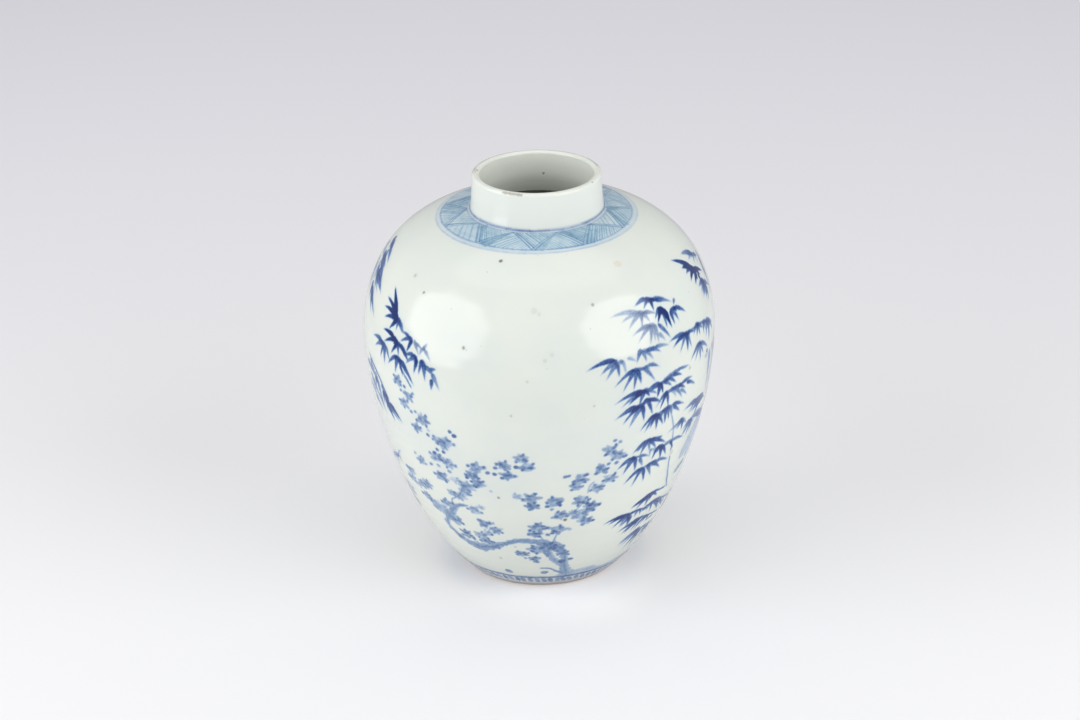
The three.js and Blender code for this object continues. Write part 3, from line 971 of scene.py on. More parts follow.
# Single leaves over the sprays: the ink, where the leaf springs from, where it is lifted off
LOOSE_LEAVES = (
    (DARK, 46.4, 93, 42, 90), (DARK, 45.8, 90.8, 38, 86.3), (MID, 48.7, 91.2, 46.9, 86.1),
    (DARK, 54.5, 82.4, 51.1, 77.8), (MID, 52.9, 82.9, 56.5, 71.2), (SOFT, 58, 79.3, 59.4, 68.6),
    (SOFT, 61, 78.5, 63, 67.3), (SOFT, 50.8, 80.9, 51.8, 71.4), (MID, 47.5, 78.9, 44.5, 76.5),
    (DARK, 42.1, 79.4, 41.4, 75), (SOFT, 71.9, 73.9, 70.5, 60.4), (DARK, 37.7, 79.7, 26.7, 77.7),
    (DARK, 37.5, 77.8, 30.9, 72.1), (DARK, 38.3, 76.2, 34.9, 69.5), (MID, 39, 75.8, 38.1, 67.2),
    (DARK, 39.1, 77.6, 39.2, 69.5), (DARK, 48, 70.7, 41.2, 65.9), (DARK, 46.2, 70.2, 36.9, 64.9),
    (DARK, 47.9, 66.8, 45.2, 58.6), (LILAC, 57.4, 63.5, 52, 61.3), (MID, 40.9, 67.2, 35.9, 64.5),
    (SOFT, 40.8, 65.1, 39.5, 58.7), (DEEP, 50.6, 57.3, 40.8, 49.9), (DARK, 50.7, 55.1, 46.5, 38.5),
    (DEEP, 48.5, 56.9, 49.8, 48.3), (LILAC, 58.1, 56.9, 56.2, 47.1), (LILAC, 55.9, 52.7, 54, 44.7),
    (SOFT, 45.5, 51.9, 39.8, 44.9), (MID, 71.8, 151.3, 56, 155), (DARK, 69.5, 151.2, 60.2, 149.6),
    (DARK, 67, 152.7, 63.7, 144.1), (MID, 71.4, 152.4, 62.2, 155.7), (DARK, 75.2, 136.2, 61.5, 142.9),
    (MID, 62.3, 143, 57, 133.2), (MID, 61.2, 140.8, 57.7, 136.7), (DARK, 55.7, 148.1, 47.8, 143.6),
    (DARK, 55.9, 147.2, 55.6, 141), (MID, 55.3, 146.9, 51.6, 143.7), (SOFT, 68, 141.5, 63, 139.9),
    (MID, -72.7, 184.5, -66.4, 167.6), (MID, -68.3, 178.1, -65.2, 169.4), (SOFT, -76.5, 164.4, -69.5, 154.7),
    (DARK, -64, 172, -61.2, 161.4), (MID, -67.4, 162.8, -64, 151), (MID, -62.6, 161.7, -55, 150.9),
    (MID, -61.7, 158.7, -58.4, 149.6), (MID, -72.2, 156.8, -67.5, 151), (SOFT, -91.4, 260.4, -82, 252.3),
    (MID, -87.5, 254.4, -80.9, 243.1), (MID, -82.7, 249, -78.1, 236.8), (SOFT, -87, 248.6, -83.9, 229.5),
    (MID, -82.2, 243.7, -77.4, 230.6), (DARK, -82.2, 243.7, -71.7, 234.6), (MID, -80.9, 229.8, -73.4, 219.2),
    (DEEP, 74.9, 246.5, 67.4, 257.2), (BLACK, 76.3, 243.7, 70.4, 242.4), (BLACK, 76, 240.8, 71.4, 236.1),
    (BLACK, 77.2, 238.8, 76.4, 233.4), (MID, 79, 230.3, 76.1, 223), (MID, 78.8, 232, 73.5, 228.2),
)
# The joints that the leaves hang from: the ink, then angle, rise and width of each point
TWIGS = (
    (DARK, 45.1, 187.4, 1.2, 42.1, 186.6, 1.9, 37.6, 185.1, 1.8, 35.3, 186.1, 2, 33.2, 183.1, 2.2),
    (DARK, 55.9, 178.8, 1, 49.4, 178.9, 2, 44.6, 177.6, 2.3, 41.9, 174.2, 1.8),
    (DARK, 40.2, 175.4, 1.2, 37.2, 177.4, 2, 34.9, 176.4, 2.2, 32.5, 174, 2.2, 29.9, 171.7, 1.6),
    (DARK, 52.7, 163.3, 0.8, 49.5, 166.2, 1.8, 46.3, 164.9, 1.8, 42.7, 164.3, 1.6, 40.9, 162.4, 2),
    (MID, 54.6, 189.6, 0.7, 49.5, 190.9, 1.9, 46, 189.9, 2, 42.1, 187.4, 2),
    (DARK, 44.7, 143.6, 1.5, 39.1, 144.8, 2, 36.2, 142.7, 1.8, 34, 139, 1.2),
    (MID, 57.4, 132.9, 0.7, 53.2, 135.9, 1.3, 48.1, 134.3, 1.5, 45.1, 135.1, 2, 42, 133.9, 1.5),
    (MID, 50.4, 120.4, 0.7, 46.4, 123.2, 1.3, 43.6, 121.7, 1.8, 39.4, 122.6, 1.8, 37.1, 119.9, 1.8),
    (MID, 38.6, 132.7, 1, 34.4, 133.8, 1.4, 32.4, 133.3, 2.2, 30.6, 130.2, 1.8),
    (MID, 40.3, 200.5, 0.8, 38, 202.9, 2, 34.6, 201.9, 1.8, 31, 202.4, 2, 28.9, 200, 2),
    (SOFT, 41.5, 214.3, 0.8, 38.6, 212.6, 1.6, 35.2, 214, 1.4, 33.1, 212.2, 2),
    (DARK, 70.1, 210.1, 1.4, 63.8, 212.4, 1.6, 59.1, 212.2, 1.6, 55.8, 212.2, 2, 52.1, 212, 1.3),
    (DEEP, 57, 90.8, 0.9, 53.8, 91.5, 1.3, 47.6, 93, 1.8, 44.4, 89.5, 2),
    (DARK, 67, 75, 0.9, 57, 80.2, 1.3, 51, 82.5, 1.6, 48, 80, 1.5),
    (DARK, 48.3, 78.2, 1.2, 43.6, 80.2, 1.7, 39.7, 80.5, 1.9, 36.7, 80, 1.9),
    (DARK, 61.3, 65, 0.9, 52.4, 68, 1.3, 47, 69.5, 1.8, 43.6, 67, 1.9),
    (DEEP, 63.6, 53, 0.9, 55.5, 55, 1.5, 50.2, 54.4, 1.9, 45.5, 52, 1.5),
    (BLACK, 70.5, 254.8, 0.9, 72.2, 251, 1.5, 73.7, 247.5, 2.1, 75.3, 243, 2.3),
    (DARK, -73.6, 187.5, 0.7, -68.7, 182.2, 1.2, -64.3, 175.6, 1.5, -61.5, 168.1, 2.1, -59.6, 162.3, 1.7),
    (DARK, -55.2, 227.5, 2.2, -53.4, 224.6, 1.7, -51, 219.9, 1.2),
    (MID, -51, 196, 1.6, -48, 190, 1.4, -45.5, 184, 0.8),
)
# Blossom: angle, rise, size across, depth of ink
BLOSSOMS = (
    (-52.5, 185, 9, 1.7), (-47.3, 176.5, 8.5, 1.5), (-50, 169.5, 8.5, 1.5), (-42, 162, 10, 1.5),
    (-45.5, 153.5, 8.5, 1.5), (-36.5, 149, 7, 1.3), (-33, 150, 10, 1.5), (-34.5, 145.5, 7, 1.4),
    (-38.5, 134.5, 9.5, 1.4), (-33.5, 131.5, 9, 1.3), (-23, 133.5, 10, 1.8), (-24.8, 126, 10, 1.8),
    (-22.8, 119, 9, 1.7), (-47, 125.5, 8, 1.2), (-38.5, 117.8, 10, 1.7), (-28, 115, 11, 1.4),
    (-32.5, 118, 7, 0.7), (-29, 108.5, 8, 1.2), (-32, 103.5, 8, 1.1), (-35.5, 104.5, 6, 1.2),
    (-57, 108.5, 9.5, 1.3), (-58.5, 102, 9, 1.1), (-55, 99, 7, 1), (-50.6, 101.5, 8.5, 1.3),
    (-47.8, 104.5, 8, 1.5), (-51.5, 90.5, 9, 1.6), (-46, 86, 11, 0.8), (-39.5, 93, 9, 1.5), (-40, 82, 11, 1),
    (-37.5, 77, 9, 1.5), (-27, 93, 9, 1.3), (-24, 97, 5, 0.7), (-24.5, 80.5, 9, 1.9), (-19.3, 75.5, 8, 1.5),
    (-21.5, 82.5, 5, 0.9), (-35, 64, 10, 1.7), (-27, 67, 9, 1.4), (-24, 71.5, 7, 0.9), (-27, 61.5, 6, 1.6),
    (-23.8, 61, 5, 1.6), (-9, 111.5, 6, 0.8), (-4, 110, 11, 1.6), (-4, 102.5, 8, 1.8), (4.5, 106.5, 10, 1.7),
    (6.5, 93, 10, 1.6), (11, 94, 6, 0.8), (14, 105.5, 10, 1.7), (13.5, 125.5, 10, 1.7), (12, 119, 8, 1.7),
    (18.5, 98.5, 10, 1.8), (15, 92, 13, 1.3), (17, 85, 9, 1.6), (24.5, 121.5, 9, 1.4), (20, 115, 9, 1.5),
    (23.5, 145.5, 10, 1.7), (26.5, 140, 9, 1.5), (20.5, 131, 10, 1.8), (-2, 81.5, 11, 1.8),
    (-3, 74.5, 8, 1.6), (6, 78.5, 11, 1.7), (-3, 57.5, 11, 1.9), (2.5, 62, 9, 1.7), (6.5, 58.5, 9, 1.6),
    (9.5, 51.5, 8, 1.6), (-10, 51.5, 8, 1.8), (-4, 46, 7, 1.7), (-3.5, 42, 4, 1.9), (-11.7, 129.2, 9, 1.7),
    (-12.9, 138.3, 8.5, 1.6), (-7, 144.8, 8, 1.6), (-4.9, 137.8, 9, 1.6), (-67, 85, 11, 1.2),
    (-67.8, 72.4, 7, 1.2),
)
# Buds and dots: angle, rise, size, depth of ink
BUDS = (
    (-49, 182.5, 2.6, 1.5), (-51, 178.5, 2.4, 1.3), (-45, 180, 2.2, 1), (-46.8, 165, 2.8, 1.2),
    (-44.8, 166.5, 2.4, 1.2), (-40.5, 151, 2.8, 1.6), (-38, 151.5, 2.6, 1.3), (-40, 155, 2.2, 0.6),
    (-31, 159, 2.6, 1.8), (-29.5, 156.5, 3.2, 2.2), (-37.5, 141, 2.6, 1.7), (-34.8, 140.5, 2.6, 1.9),
    (-39, 137.5, 3, 2), (-27, 123, 2.6, 2.2), (-18.8, 130.3, 3.2, 1.5), (-16.3, 129.9, 2.8, 1.8),
    (-15.8, 135.4, 2.8, 1.5), (-8.6, 137.5, 3, 1.8), (-42, 126, 3, 1), (-38.5, 127, 3, 0.9),
    (-34, 124.5, 3.2, 1), (-49.5, 130, 2.6, 0.8), (-22, 70, 2.2, 1.5), (1.8, 102.5, 3, 1.6),
    (3.5, 99.5, 2.6, 1), (17.3, 105.5, 2.8, 1.8), (8, 128.5, 2.8, 1.5), (9.3, 129, 2.2, 1.3),
    (24.8, 153, 2.6, 1.3), (26.8, 151, 2.6, 1.1), (29.5, 138, 2.6, 1.5), (26.2, 134, 3, 1.3),
    (23.2, 134.5, 2.6, 1.3), (2, 74, 3, 1.4), (11, 78, 2.6, 0.6), (-8.5, 46.5, 2.2, 1.3),
    (0.5, 26.5, 5, 1.5), (-20, 25, 5.5, 1.2), (13.3, 43.5, 3.6, 1.7), (9.3, 41.5, 5.5, 1.9),
    (-18.5, 114, 2, 0.6),
)
# Boughs: depth of ink, then angle, rise and width of each point
BOUGHS = (
    (1.4, 13.5, 19, 13, 12.5, 25, 9, 11, 33, 7, 10.5, 40, 5.5, 10, 48, 5.5, 8.5, 55, 6.5, 5.5, 61, 8, 1, 65,
     8),
    (1.6, 4, 64, 8, -3, 66.5, 5, -9, 67, 4.2, -14, 65, 4.2, -19, 60, 5, -23, 56.5, 8),
    (1.6, -21, 58, 6, -28, 54, 9, -33, 53.5, 8, -38, 57, 5.5, -42, 62, 4, -44.5, 69, 4, -43, 76, 6),
    (1.2, -50, 88, 5, -45.3, 84.1, 8, -40.8, 79, 9, -36.5, 73, 6),
    (1.5, -43.5, 74, 4, -40.5, 81, 7, -38.5, 86, 6, -36, 91, 4.5, -33.5, 94.5, 3, -29.5, 96, 2),
    (0.5, -49, 86, 6, -46, 86, 9, -43, 87, 7, -41, 90, 5),
    (1.4, 10.5, 36, 6, 6.3, 43, 5.5, 3.2, 50, 5, 1.5, 57, 6, 0, 65, 7),
    (1.4, 12, 22, 2.5, 7, 28, 1.8, 3, 32.5, 1.4, -2, 33, 1.2),
    (1.1, -36, 92, 1.4, -36.5, 98, 1.1, -33, 103, 1.2, -31, 108, 1, -30, 113, 0.9),
    (0.55, -31, 107, 4, -29, 112, 6, -27, 118, 4), (1.1, -24, 71, 1, -22.5, 75, 1, -20.5, 79, 0.8),
    (1.1, 4, 64, 1.2, 5, 70, 1, 6, 76, 0.8), (1.1, 1, 66, 1, -1, 72, 0.9, -2, 79, 0.8),
    (1, 8, 92, 0.8, 12, 96, 0.7, 15, 103, 0.7), (1, 16.5, 112, 0.8, 17, 118, 0.7, 18.5, 121, 0.8),
)
# Washes on the ground and on the rock: depth of ink, then angle, rise and width of each point
GROUND_WASHES = (
    (0.75, 75, 142, 9, 69, 130, 12, 65, 120, 11, 61, 111, 7), (0.5, 76, 132, 9, 71, 120, 12, 67, 108, 9),
    (0.5, 66.5, 125, 6, 64, 121, 8, 61, 116, 5), (1.1, 67.5, 105, 3, 64.5, 102, 6, 60.5, 100, 4),
    (0.6, 12, 20, 6, 20, 22, 7, 28, 21, 7, 36, 20, 5, 46, 22, 4, 58, 24, 4),
    (0.5, 18, 24, 4, 24, 26, 4, 31, 25, 3), (0.4, -16, 18.5, 3, -8, 18.8, 2.5, 2, 18.8, 3),
    (0.4, -23, 18.5, 3, -32, 18.5, 2.5, -40, 18.5, 2),
)
# Iron specks, rust and smudges in the glaze: angle, rise, size, strength, 0 for iron to 1 for rust
KILN_MARKS = (
    (-46.8, 250.3, 2.2, 0.75, 0.1), (-25.4, 222.3, 2.3, 0.8, 0.1), (19.8, 251, 2.2, 0.7, 0.2),
    (-18.7, 285.8, 2.6, 0.95, 0), (56.4, 187, 2.4, 0.6, 0.3), (68.5, 185.5, 3, 0.6, 0.2),
    (8.7, 88.5, 2.8, 0.95, 0), (-16, 109, 2, 0.7, 0), (-12.5, 59.5, 2.2, 0.4, 0.4),
    (-21.5, 43, 2.6, 0.35, 0.1), (-9.4, 178.2, 1.4, 0.4, 0), (17, 182.8, 1.5, 0.35, 0),
    (-55.6, 258, 3, 0.3, 0), (37.5, 275.2, 5.6, 0.55, 1), (-1.8, 250, 4.5, 0.12, 0), (0, 248, 2.5, 0.12, 0),
    (1.6, 217.3, 2.5, 0.16, 0), (-4.1, 203.2, 1.8, 0.25, 0), (3.9, 221, 3, 0.1, 0),
    (52.6, 124, 4, 0.35, 0.3), (141, 231, 2.2, 0.8, 0), (-128, 158, 2, 0.7, 0), (171, 96, 2.4, 0.8, 0.1),
    (-158, 262, 2.2, 0.6, 0.2), (112, 72, 2, 0.7, 0), (-101, 141, 1.8, 0.5, 0), (-171, 120, 4.5, 0.4, 1),
)


class Side(Enum):
    """A side of the jar. The back carries the same design, mirrored and a little lower."""

    FRONT = "front"
    BACK = "back"

    def spots(self, numbers: list, columns: int = 2) -> Array:
        """Where places of the front design come on this side.

        Args:
            numbers: the places one after the other, each an angle, a rise and any further columns.
            columns: how many numbers a place has.

        Returns:
            One row for each place.
        """
        places = np.reshape(np.array(numbers, float), (-1, columns))
        if self is Side.BACK:
            places[:, 0] = 184.0 - places[:, 0]
            places[:, 1] -= 0.02 * places[:, 1]
        return places


@dataclass
class Bamboo:
    """The bamboo groves, one at each side of the plum tree."""

    film: InkFilm
    hub_width: float = 1.9
    filling: float = 0.36
    back_edge: float = 74.0
    grove_end: float = 55.0
    broader: float = 0.012

    def __post_init__(self) -> None:
        """Takes a brush for each grove in front and one for both of them behind."""
        self.right, self.left, self.behind = (
            Brush(self.film, f"painted_bamboo_{place}", seed)
            for place, seed in (("right", 11), ("left", 12), ("back", 13)))

    def sides(self, start: float, end: float) -> list[tuple[Brush, Side]]:
        """The brush in front for a part that starts at an angle, and that behind unless it ends at the edge."""
        front = (self.right if start > 0 else self.left, Side.FRONT)
        return [front, (self.behind, Side.BACK)] if abs(end) < self.back_edge else [front]

    def spread(self, start: float) -> float:
        """How broad a leaf is for its length, by its angle: broader where the groves end."""
        return 1 + self.broader * max(0.0, abs(start) - self.grove_end)

    def spray(self, brush: Brush, ink: Ink, places: Array, broad: float) -> None:
        """Paints one spray: its hub, then leaves from evenly spaced places on it, with short ones between.

        Args:
            brush: the brush.
            ink: the ink.
            places: where the leaves spring from, first and last, and where each of them is lifted off.
            broad: how broad the leaves are for their length.
        """
        first, last, *reached = places
        if len(reached) > 2:
            width = self.hub_width
            hub = [(*first, width), (*((first + last) / 2), width * 1.1), (*last, width)]
            brush.path(hub, 1.1 * ink.value[0], ink.value[1], 8)
        bases = [first + (last - first) * number / max(1, len(reached) - 1) for number in range(len(reached))]
        for base, tip in zip(bases, reached):
            brush.leaf(base, tip, ink, broad)
        for number in range(len(reached) - 1):
            base, between = (sum(spots[number:number + 2]) / 2 for spots in (bases, reached))
            brush.leaf(base, base + self.filling * (between - base), ink)

    def paint(self) -> None:
        """Paints the two groves in front, with their culms, and both again behind."""
        for numbers in RIGHT_CULMS:
            for brush, side in ((self.right, Side.FRONT), (self.behind, Side.BACK)):
                brush.path(side.spots(numbers, 3), *SOFT.value, 30, 0.05)
        for ink, *numbers in TWIGS:
            for brush, side in self.sides(numbers[0], numbers[-3]):
                brush.path(side.spots(numbers, 3), *ink.value, 24, 0.2)
        for ink, *numbers in LOOSE_LEAVES:
            for brush, side in self.sides(numbers[0], numbers[0]):
                brush.leaf(*side.spots(numbers), ink, self.spread(numbers[0]))
        for ink, *numbers in RIGHT_GROVE + LEFT_GROVE:
            for brush, side in self.sides(numbers[0], numbers[0]):
                self.spray(brush, ink, side.spots(numbers), self.spread(numbers[0]))


@dataclass
class Plum:
    """The old plum tree between the groves: boughs, blossom and buds."""

    film: InkFilm
    side: Side

    def flower(self, brush: Brush, angle: float, rise: float, size: float, depth: float) -> None:
        """Paints one flower: a pale patch, wider than tall, with blunt lobes, every other one tipped dark."""
        random = brush.random
        per_mm = math.degrees(1 / float(self.film.wall.radius_at(rise)))
        wide, tall = 0.60 * size, 0.43 * size
        for up in (-0.35, 0.35):
            start = (angle - 0.6 * wide * per_mm, rise + up * tall)
            brush.dab(start, random.uniform(-12, 12), 1.2 * wide, 0.9 * tall,
                      depth * random.uniform(0.36, 0.56), -0.35)
        lobes, turn = int(random.integers(5, 8)), random.uniform(0, 360)
        for lobe in range(lobes):
            round_it = math.radians(turn + 360 * (lobe + 0.25 * random.normal()) / lobes)
            out = np.array([wide * math.cos(round_it), tall * math.sin(round_it)])
            out = out * random.uniform(0.85, 1.12)
            start = (angle + 0.25 * out[0] * per_mm, rise + 0.25 * out[1])
            heading = math.degrees(math.atan2(out[1], out[0]))
            brush.dab(start, heading, 0.92 * math.hypot(*out), size * random.uniform(0.20, 0.29),
                      depth * random.uniform(0.32, 0.76), 0.85)
            if lobe % 2:
                tip = (angle + 0.8 * out[0] * per_mm, rise + 0.8 * out[1])
                turned = heading + random.uniform(-60, 60)
                brush.dab(tip, turned, 0.22 * size, 0.15 * size, 1.15 * depth, -0.4)
        for _ in range(3):
            start = (angle + wide * random.uniform(-0.7, 0.4) * per_mm,
                     rise + tall * random.uniform(-0.4, 0.6))
            brush.dab(start, random.uniform(-25, 25), 0.3 * size, 0.15 * size, depth, 0.7)

    def bud(self, brush: Brush, angle: float, rise: float, size: float, depth: float) -> None:
        """Paints a bud as one round dab that leans at random."""
        heading = brush.random.uniform(-35, 35)
        radius, leaning = float(self.film.wall.radius_at(rise)), math.radians(heading)
        start = (angle - math.degrees(0.5 * size * math.cos(leaning) / radius),
                 rise - 0.5 * size * math.sin(leaning))
        brush.dab(start, heading, size, size * 0.75, depth * 1.1, 0.4)

    def paint(self) -> None:
        """Paints the boughs, each a broad pale stroke with dark ones along its sides, then the blossom."""
        boughs = Brush(self.film, f"painted_boughs_{self.side.value}", 31)
        for depth, *numbers in BOUGHS:
            places = self.side.spots(numbers, 3)
            angle, rise, width = places.T
            boughs.path(places, 0.5 * depth, 0.1, 60, 0.2)
            for across, share, dark in ((-0.26, 0.4, 0.8), (0.2, 0.2, 0.6), (0.0, 0.14, 0.75)):
                edge = np.stack([angle + 0.5 * across * width, rise + across * width, share * width], axis=-1)
                boughs.path(edge, dark * depth, 0.2, 60, 0.7)
        blossom = Brush(self.film, f"painted_blossom_{self.side.value}", 23)
        for paint, table in ((self.flower, BLOSSOMS), (self.bud, BUDS)):
            for row in self.side.spots(table, 4):
                paint(blossom, *row)


@dataclass(frozen=True)
class Hatching:
    """How a triangle of the collar is filled: its corners in order, how many lines, and how dark."""

    order: tuple
    lines: int
    depth: float
    wedge: float


# From the triangle over the collar's left side, going to the right
HATCHINGS = (
    Hatching((1, 2, 0), 7, 0.9, 0.0), Hatching((0, 1, 2), 17, 1.0, 0.8), Hatching((0, 1, 2), 12, 0.9, 1.0),
    Hatching((0, 1, 2), 15, 1.1, 0.0), Hatching((1, 2, 0), 13, 0.8, 0.8), Hatching((0, 1, 2), 16, 1.5, 0.8),
    Hatching((0, 1, 2), 15, 1.2, 0.7),
)


@dataclass
class Collar:
    """The collar round the neck: a pale ring of hatched triangles between double lines. Rises in mm."""

    film: InkFilm
    low: float = 298.9
    high: float = 316.2
    outer_line: float = 295.0
    seam_line: float = 318.5
    low_points: tuple = (-71, -37.5, -2.5, 28.5, 63, 94, 127, 160, 192, 224, 256)
    high_points: tuple = (-53, -19, 15.5, 46, 80, 111, 144, 176, 208, 240, 272)
    band: float = 1.15
    bluish: float = -1.0
    rows: int = 12

    def lean(self, turned: Array) -> Array:
        """How far the outer rings stray up the shoulder, by angle: down in front, up on the right."""
        return 0.6 * np.sin(turned) - 0.9 * np.cos(turned)

    def ring(self, brush: Brush, rise: float, width: float, depth: float, cast: float = 0.3) -> None:
        """Paints a line all the way round, a little unsteady."""
        angle = np.linspace(0, 360, 361)
        turned = np.radians(angle)
        drift = 0.15 * np.sin(turned * 3 + rise) + 0.08 * np.sin(turned * 7)
        outer = rise < self.high - 2
        if outer:
            drift += self.lean(turned)
        swell = 1 + 0.15 * np.sin(turned * 5 + rise)
        depths = depth * (1 - (0.2 if outer else 0.0) * np.sin(turned) ** 2)
        line = np.stack([angle, rise + drift], axis=-1)
        brush.lay(line, width * swell, depths * (1 + 0.15 * np.sin(turned * 4 + 2 * rise)), cast)

    def chord(self, start: Array, end: Array) -> Array:
        """A line between two places (angle, rise) that is straight when seen from above."""
        wall = self.film.wall
        turned, radius = np.radians([start[0], end[0]]), wall.radius_at(np.array([start[1], end[1]]))
        ends = np.stack([radius * np.sin(turned), radius * np.cos(turned)], axis=-1)
        points = ends[0] + (ends[1] - ends[0]) * np.linspace(0, 1, self.rows)[:, None]
        angle = np.degrees(np.unwrap(np.append(turned[0], np.arctan2(*points.T)))[1:])
        shoulder = (wall.heights > wall.belly_height) & (wall.heights < wall.neck_bottom)
        rise = np.interp(-np.hypot(*points.T), -wall.radii[shoulder], wall.rises[shoulder])
        return np.stack([angle, rise], axis=-1)

    def line(self, brush: Brush, start: Array, end: Array, width: float, depth: float, cast: float,
             wipe: bool = False) -> None:
        """Lays an even stroke along a chord, or wipes the colour off it."""
        widths, depths = np.full(self.rows, width), np.full(self.rows, depth)
        brush.lay(self.chord(start, end), widths, depths, cast, wipe=wipe)

    def triangle(self, brush: Brush, corners: list[Array], hatching: Hatching) -> None:
        """Fills a triangle with lines parallel to one side, and a darker wedge along its first side."""
        if hatching.wedge:
            inwards = corners[0] + 0.2 * (corners[2] - corners[0])
            middle = (self.chord(corners[0], corners[1]) + self.chord(inwards, corners[1])) / 2
            base = math.radians(abs(inwards[0] - corners[0][0])) * 60 + abs(inwards[1] - corners[0][1])
            depths = np.full(self.rows, hatching.wedge)
            brush.lay(middle, np.linspace(base, 0.4, self.rows), depths, self.bluish)
        first, second, third = (corners[k] for k in hatching.order)
        for share in np.linspace(0.05, 0.95, hatching.lines):
            share += 0.008 * brush.random.normal()
            start, end = (corner + share * (third - corner) for corner in (first, second))
            depth = hatching.depth * (1.4 - 0.8 * share) * brush.random.uniform(0.75, 1.2)
            self.line(brush, start, end, 0.42, depth, self.bluish)

    def paint(self) -> None:
        """Paints the wash, the triangles, the zigzag of pale bands between lines, and the rings."""
        brush = Brush(self.film, "painted_collar", 6)
        for low, high, depth in ((self.low, self.high, 0.55), (self.outer_line, self.low, 0.3),
                                 (self.high, self.seam_line, 0.25)):
            self.ring(brush, (low + high) / 2, high - low, depth, self.bluish)
        corners = [np.array((angle, rise), float) for pair in zip(self.low_points, self.high_points)
                   for angle, rise in zip(pair, (self.low, self.high))]
        for corner in corners[::2]:
            corner[1] += self.lean(math.radians(corner[0]))
        corners += [corner + (360, 0) for corner in corners[:2]]
        for number in range(len(corners) - 2):
            self.triangle(brush, corners[number:number + 3], HATCHINGS[number % len(HATCHINGS)])
        for start, end in zip(corners, corners[1:-1]):
            self.line(brush, start, end, 1.9, 0.6, 0.0, wipe=True)
            depths = brush.random.uniform(1.0, 2.0, 2)
            for shift, depth in zip((-self.band, self.band), depths):
                moved = np.array([math.degrees(shift / 60), 0])
                self.line(brush, start + moved, end + moved, 0.5, depth, -0.3)
        for rise, width, depth, cast in ((self.low - 0.3, 0.7, 1.3, 0.0), (self.outer_line, 0.6, 0.55, 0.8),
                                         (self.high, 0.6, 1.1, 0.0), (self.seam_line, 1.2, 1.9, 1.0)):
            self.ring(brush, rise, width, depth, cast)


@dataclass
class FootBand:
    """The band above the foot: a line with a comb of short bars under it, some of them slanting."""

    film: InkFilm
    top: float = 17.9
    bar_top: float = 15.9
    bar_low: float = 9.0
    bars: int = 84

    def paint(self) -> None:
        """Paints the bars on a faint wash, the line over them and the thin one below."""
        brush = Brush(self.film, "painted_foot_band", 9)
        angle = np.linspace(0, 360, 241)
        turned = np.radians(angle)
        middle = (self.top + self.bar_low) / 2
        lines = ((middle, self.top - self.bar_low, 0.3, 0.4), (self.top, 2.2, 2.0, 0.9),
                 (self.bar_low - 1.3, 0.8, 0.6, 0.6))
        for rise, width, depth, cast in lines:
            drift = 0.25 * np.sin(turned * 2 + rise) + 0.15 * np.sin(turned * 5)
            swell = 1 + 0.2 * np.sin(turned * 4 + 1)
            line = np.stack([angle, rise + drift], axis=-1)
            brush.lay(line, width * swell, np.full(len(angle), depth), cast)
        for bar in range(self.bars):
            angle = 360 * bar / self.bars + brush.random.normal() * 0.3
            slant = -1.6 if bar % 12 in (3, 4) else -0.5 + 0.3 * brush.random.normal()
            points = [(angle - slant, self.bar_low, 2.7), (angle, (self.bar_top + self.bar_low) / 2, 3.1),
                      (angle + slant, self.bar_top, 2.9)]
            brush.path(points, MID.value[0] * brush.random.uniform(0.75, 1.15), 0.6, 8, 0.08)


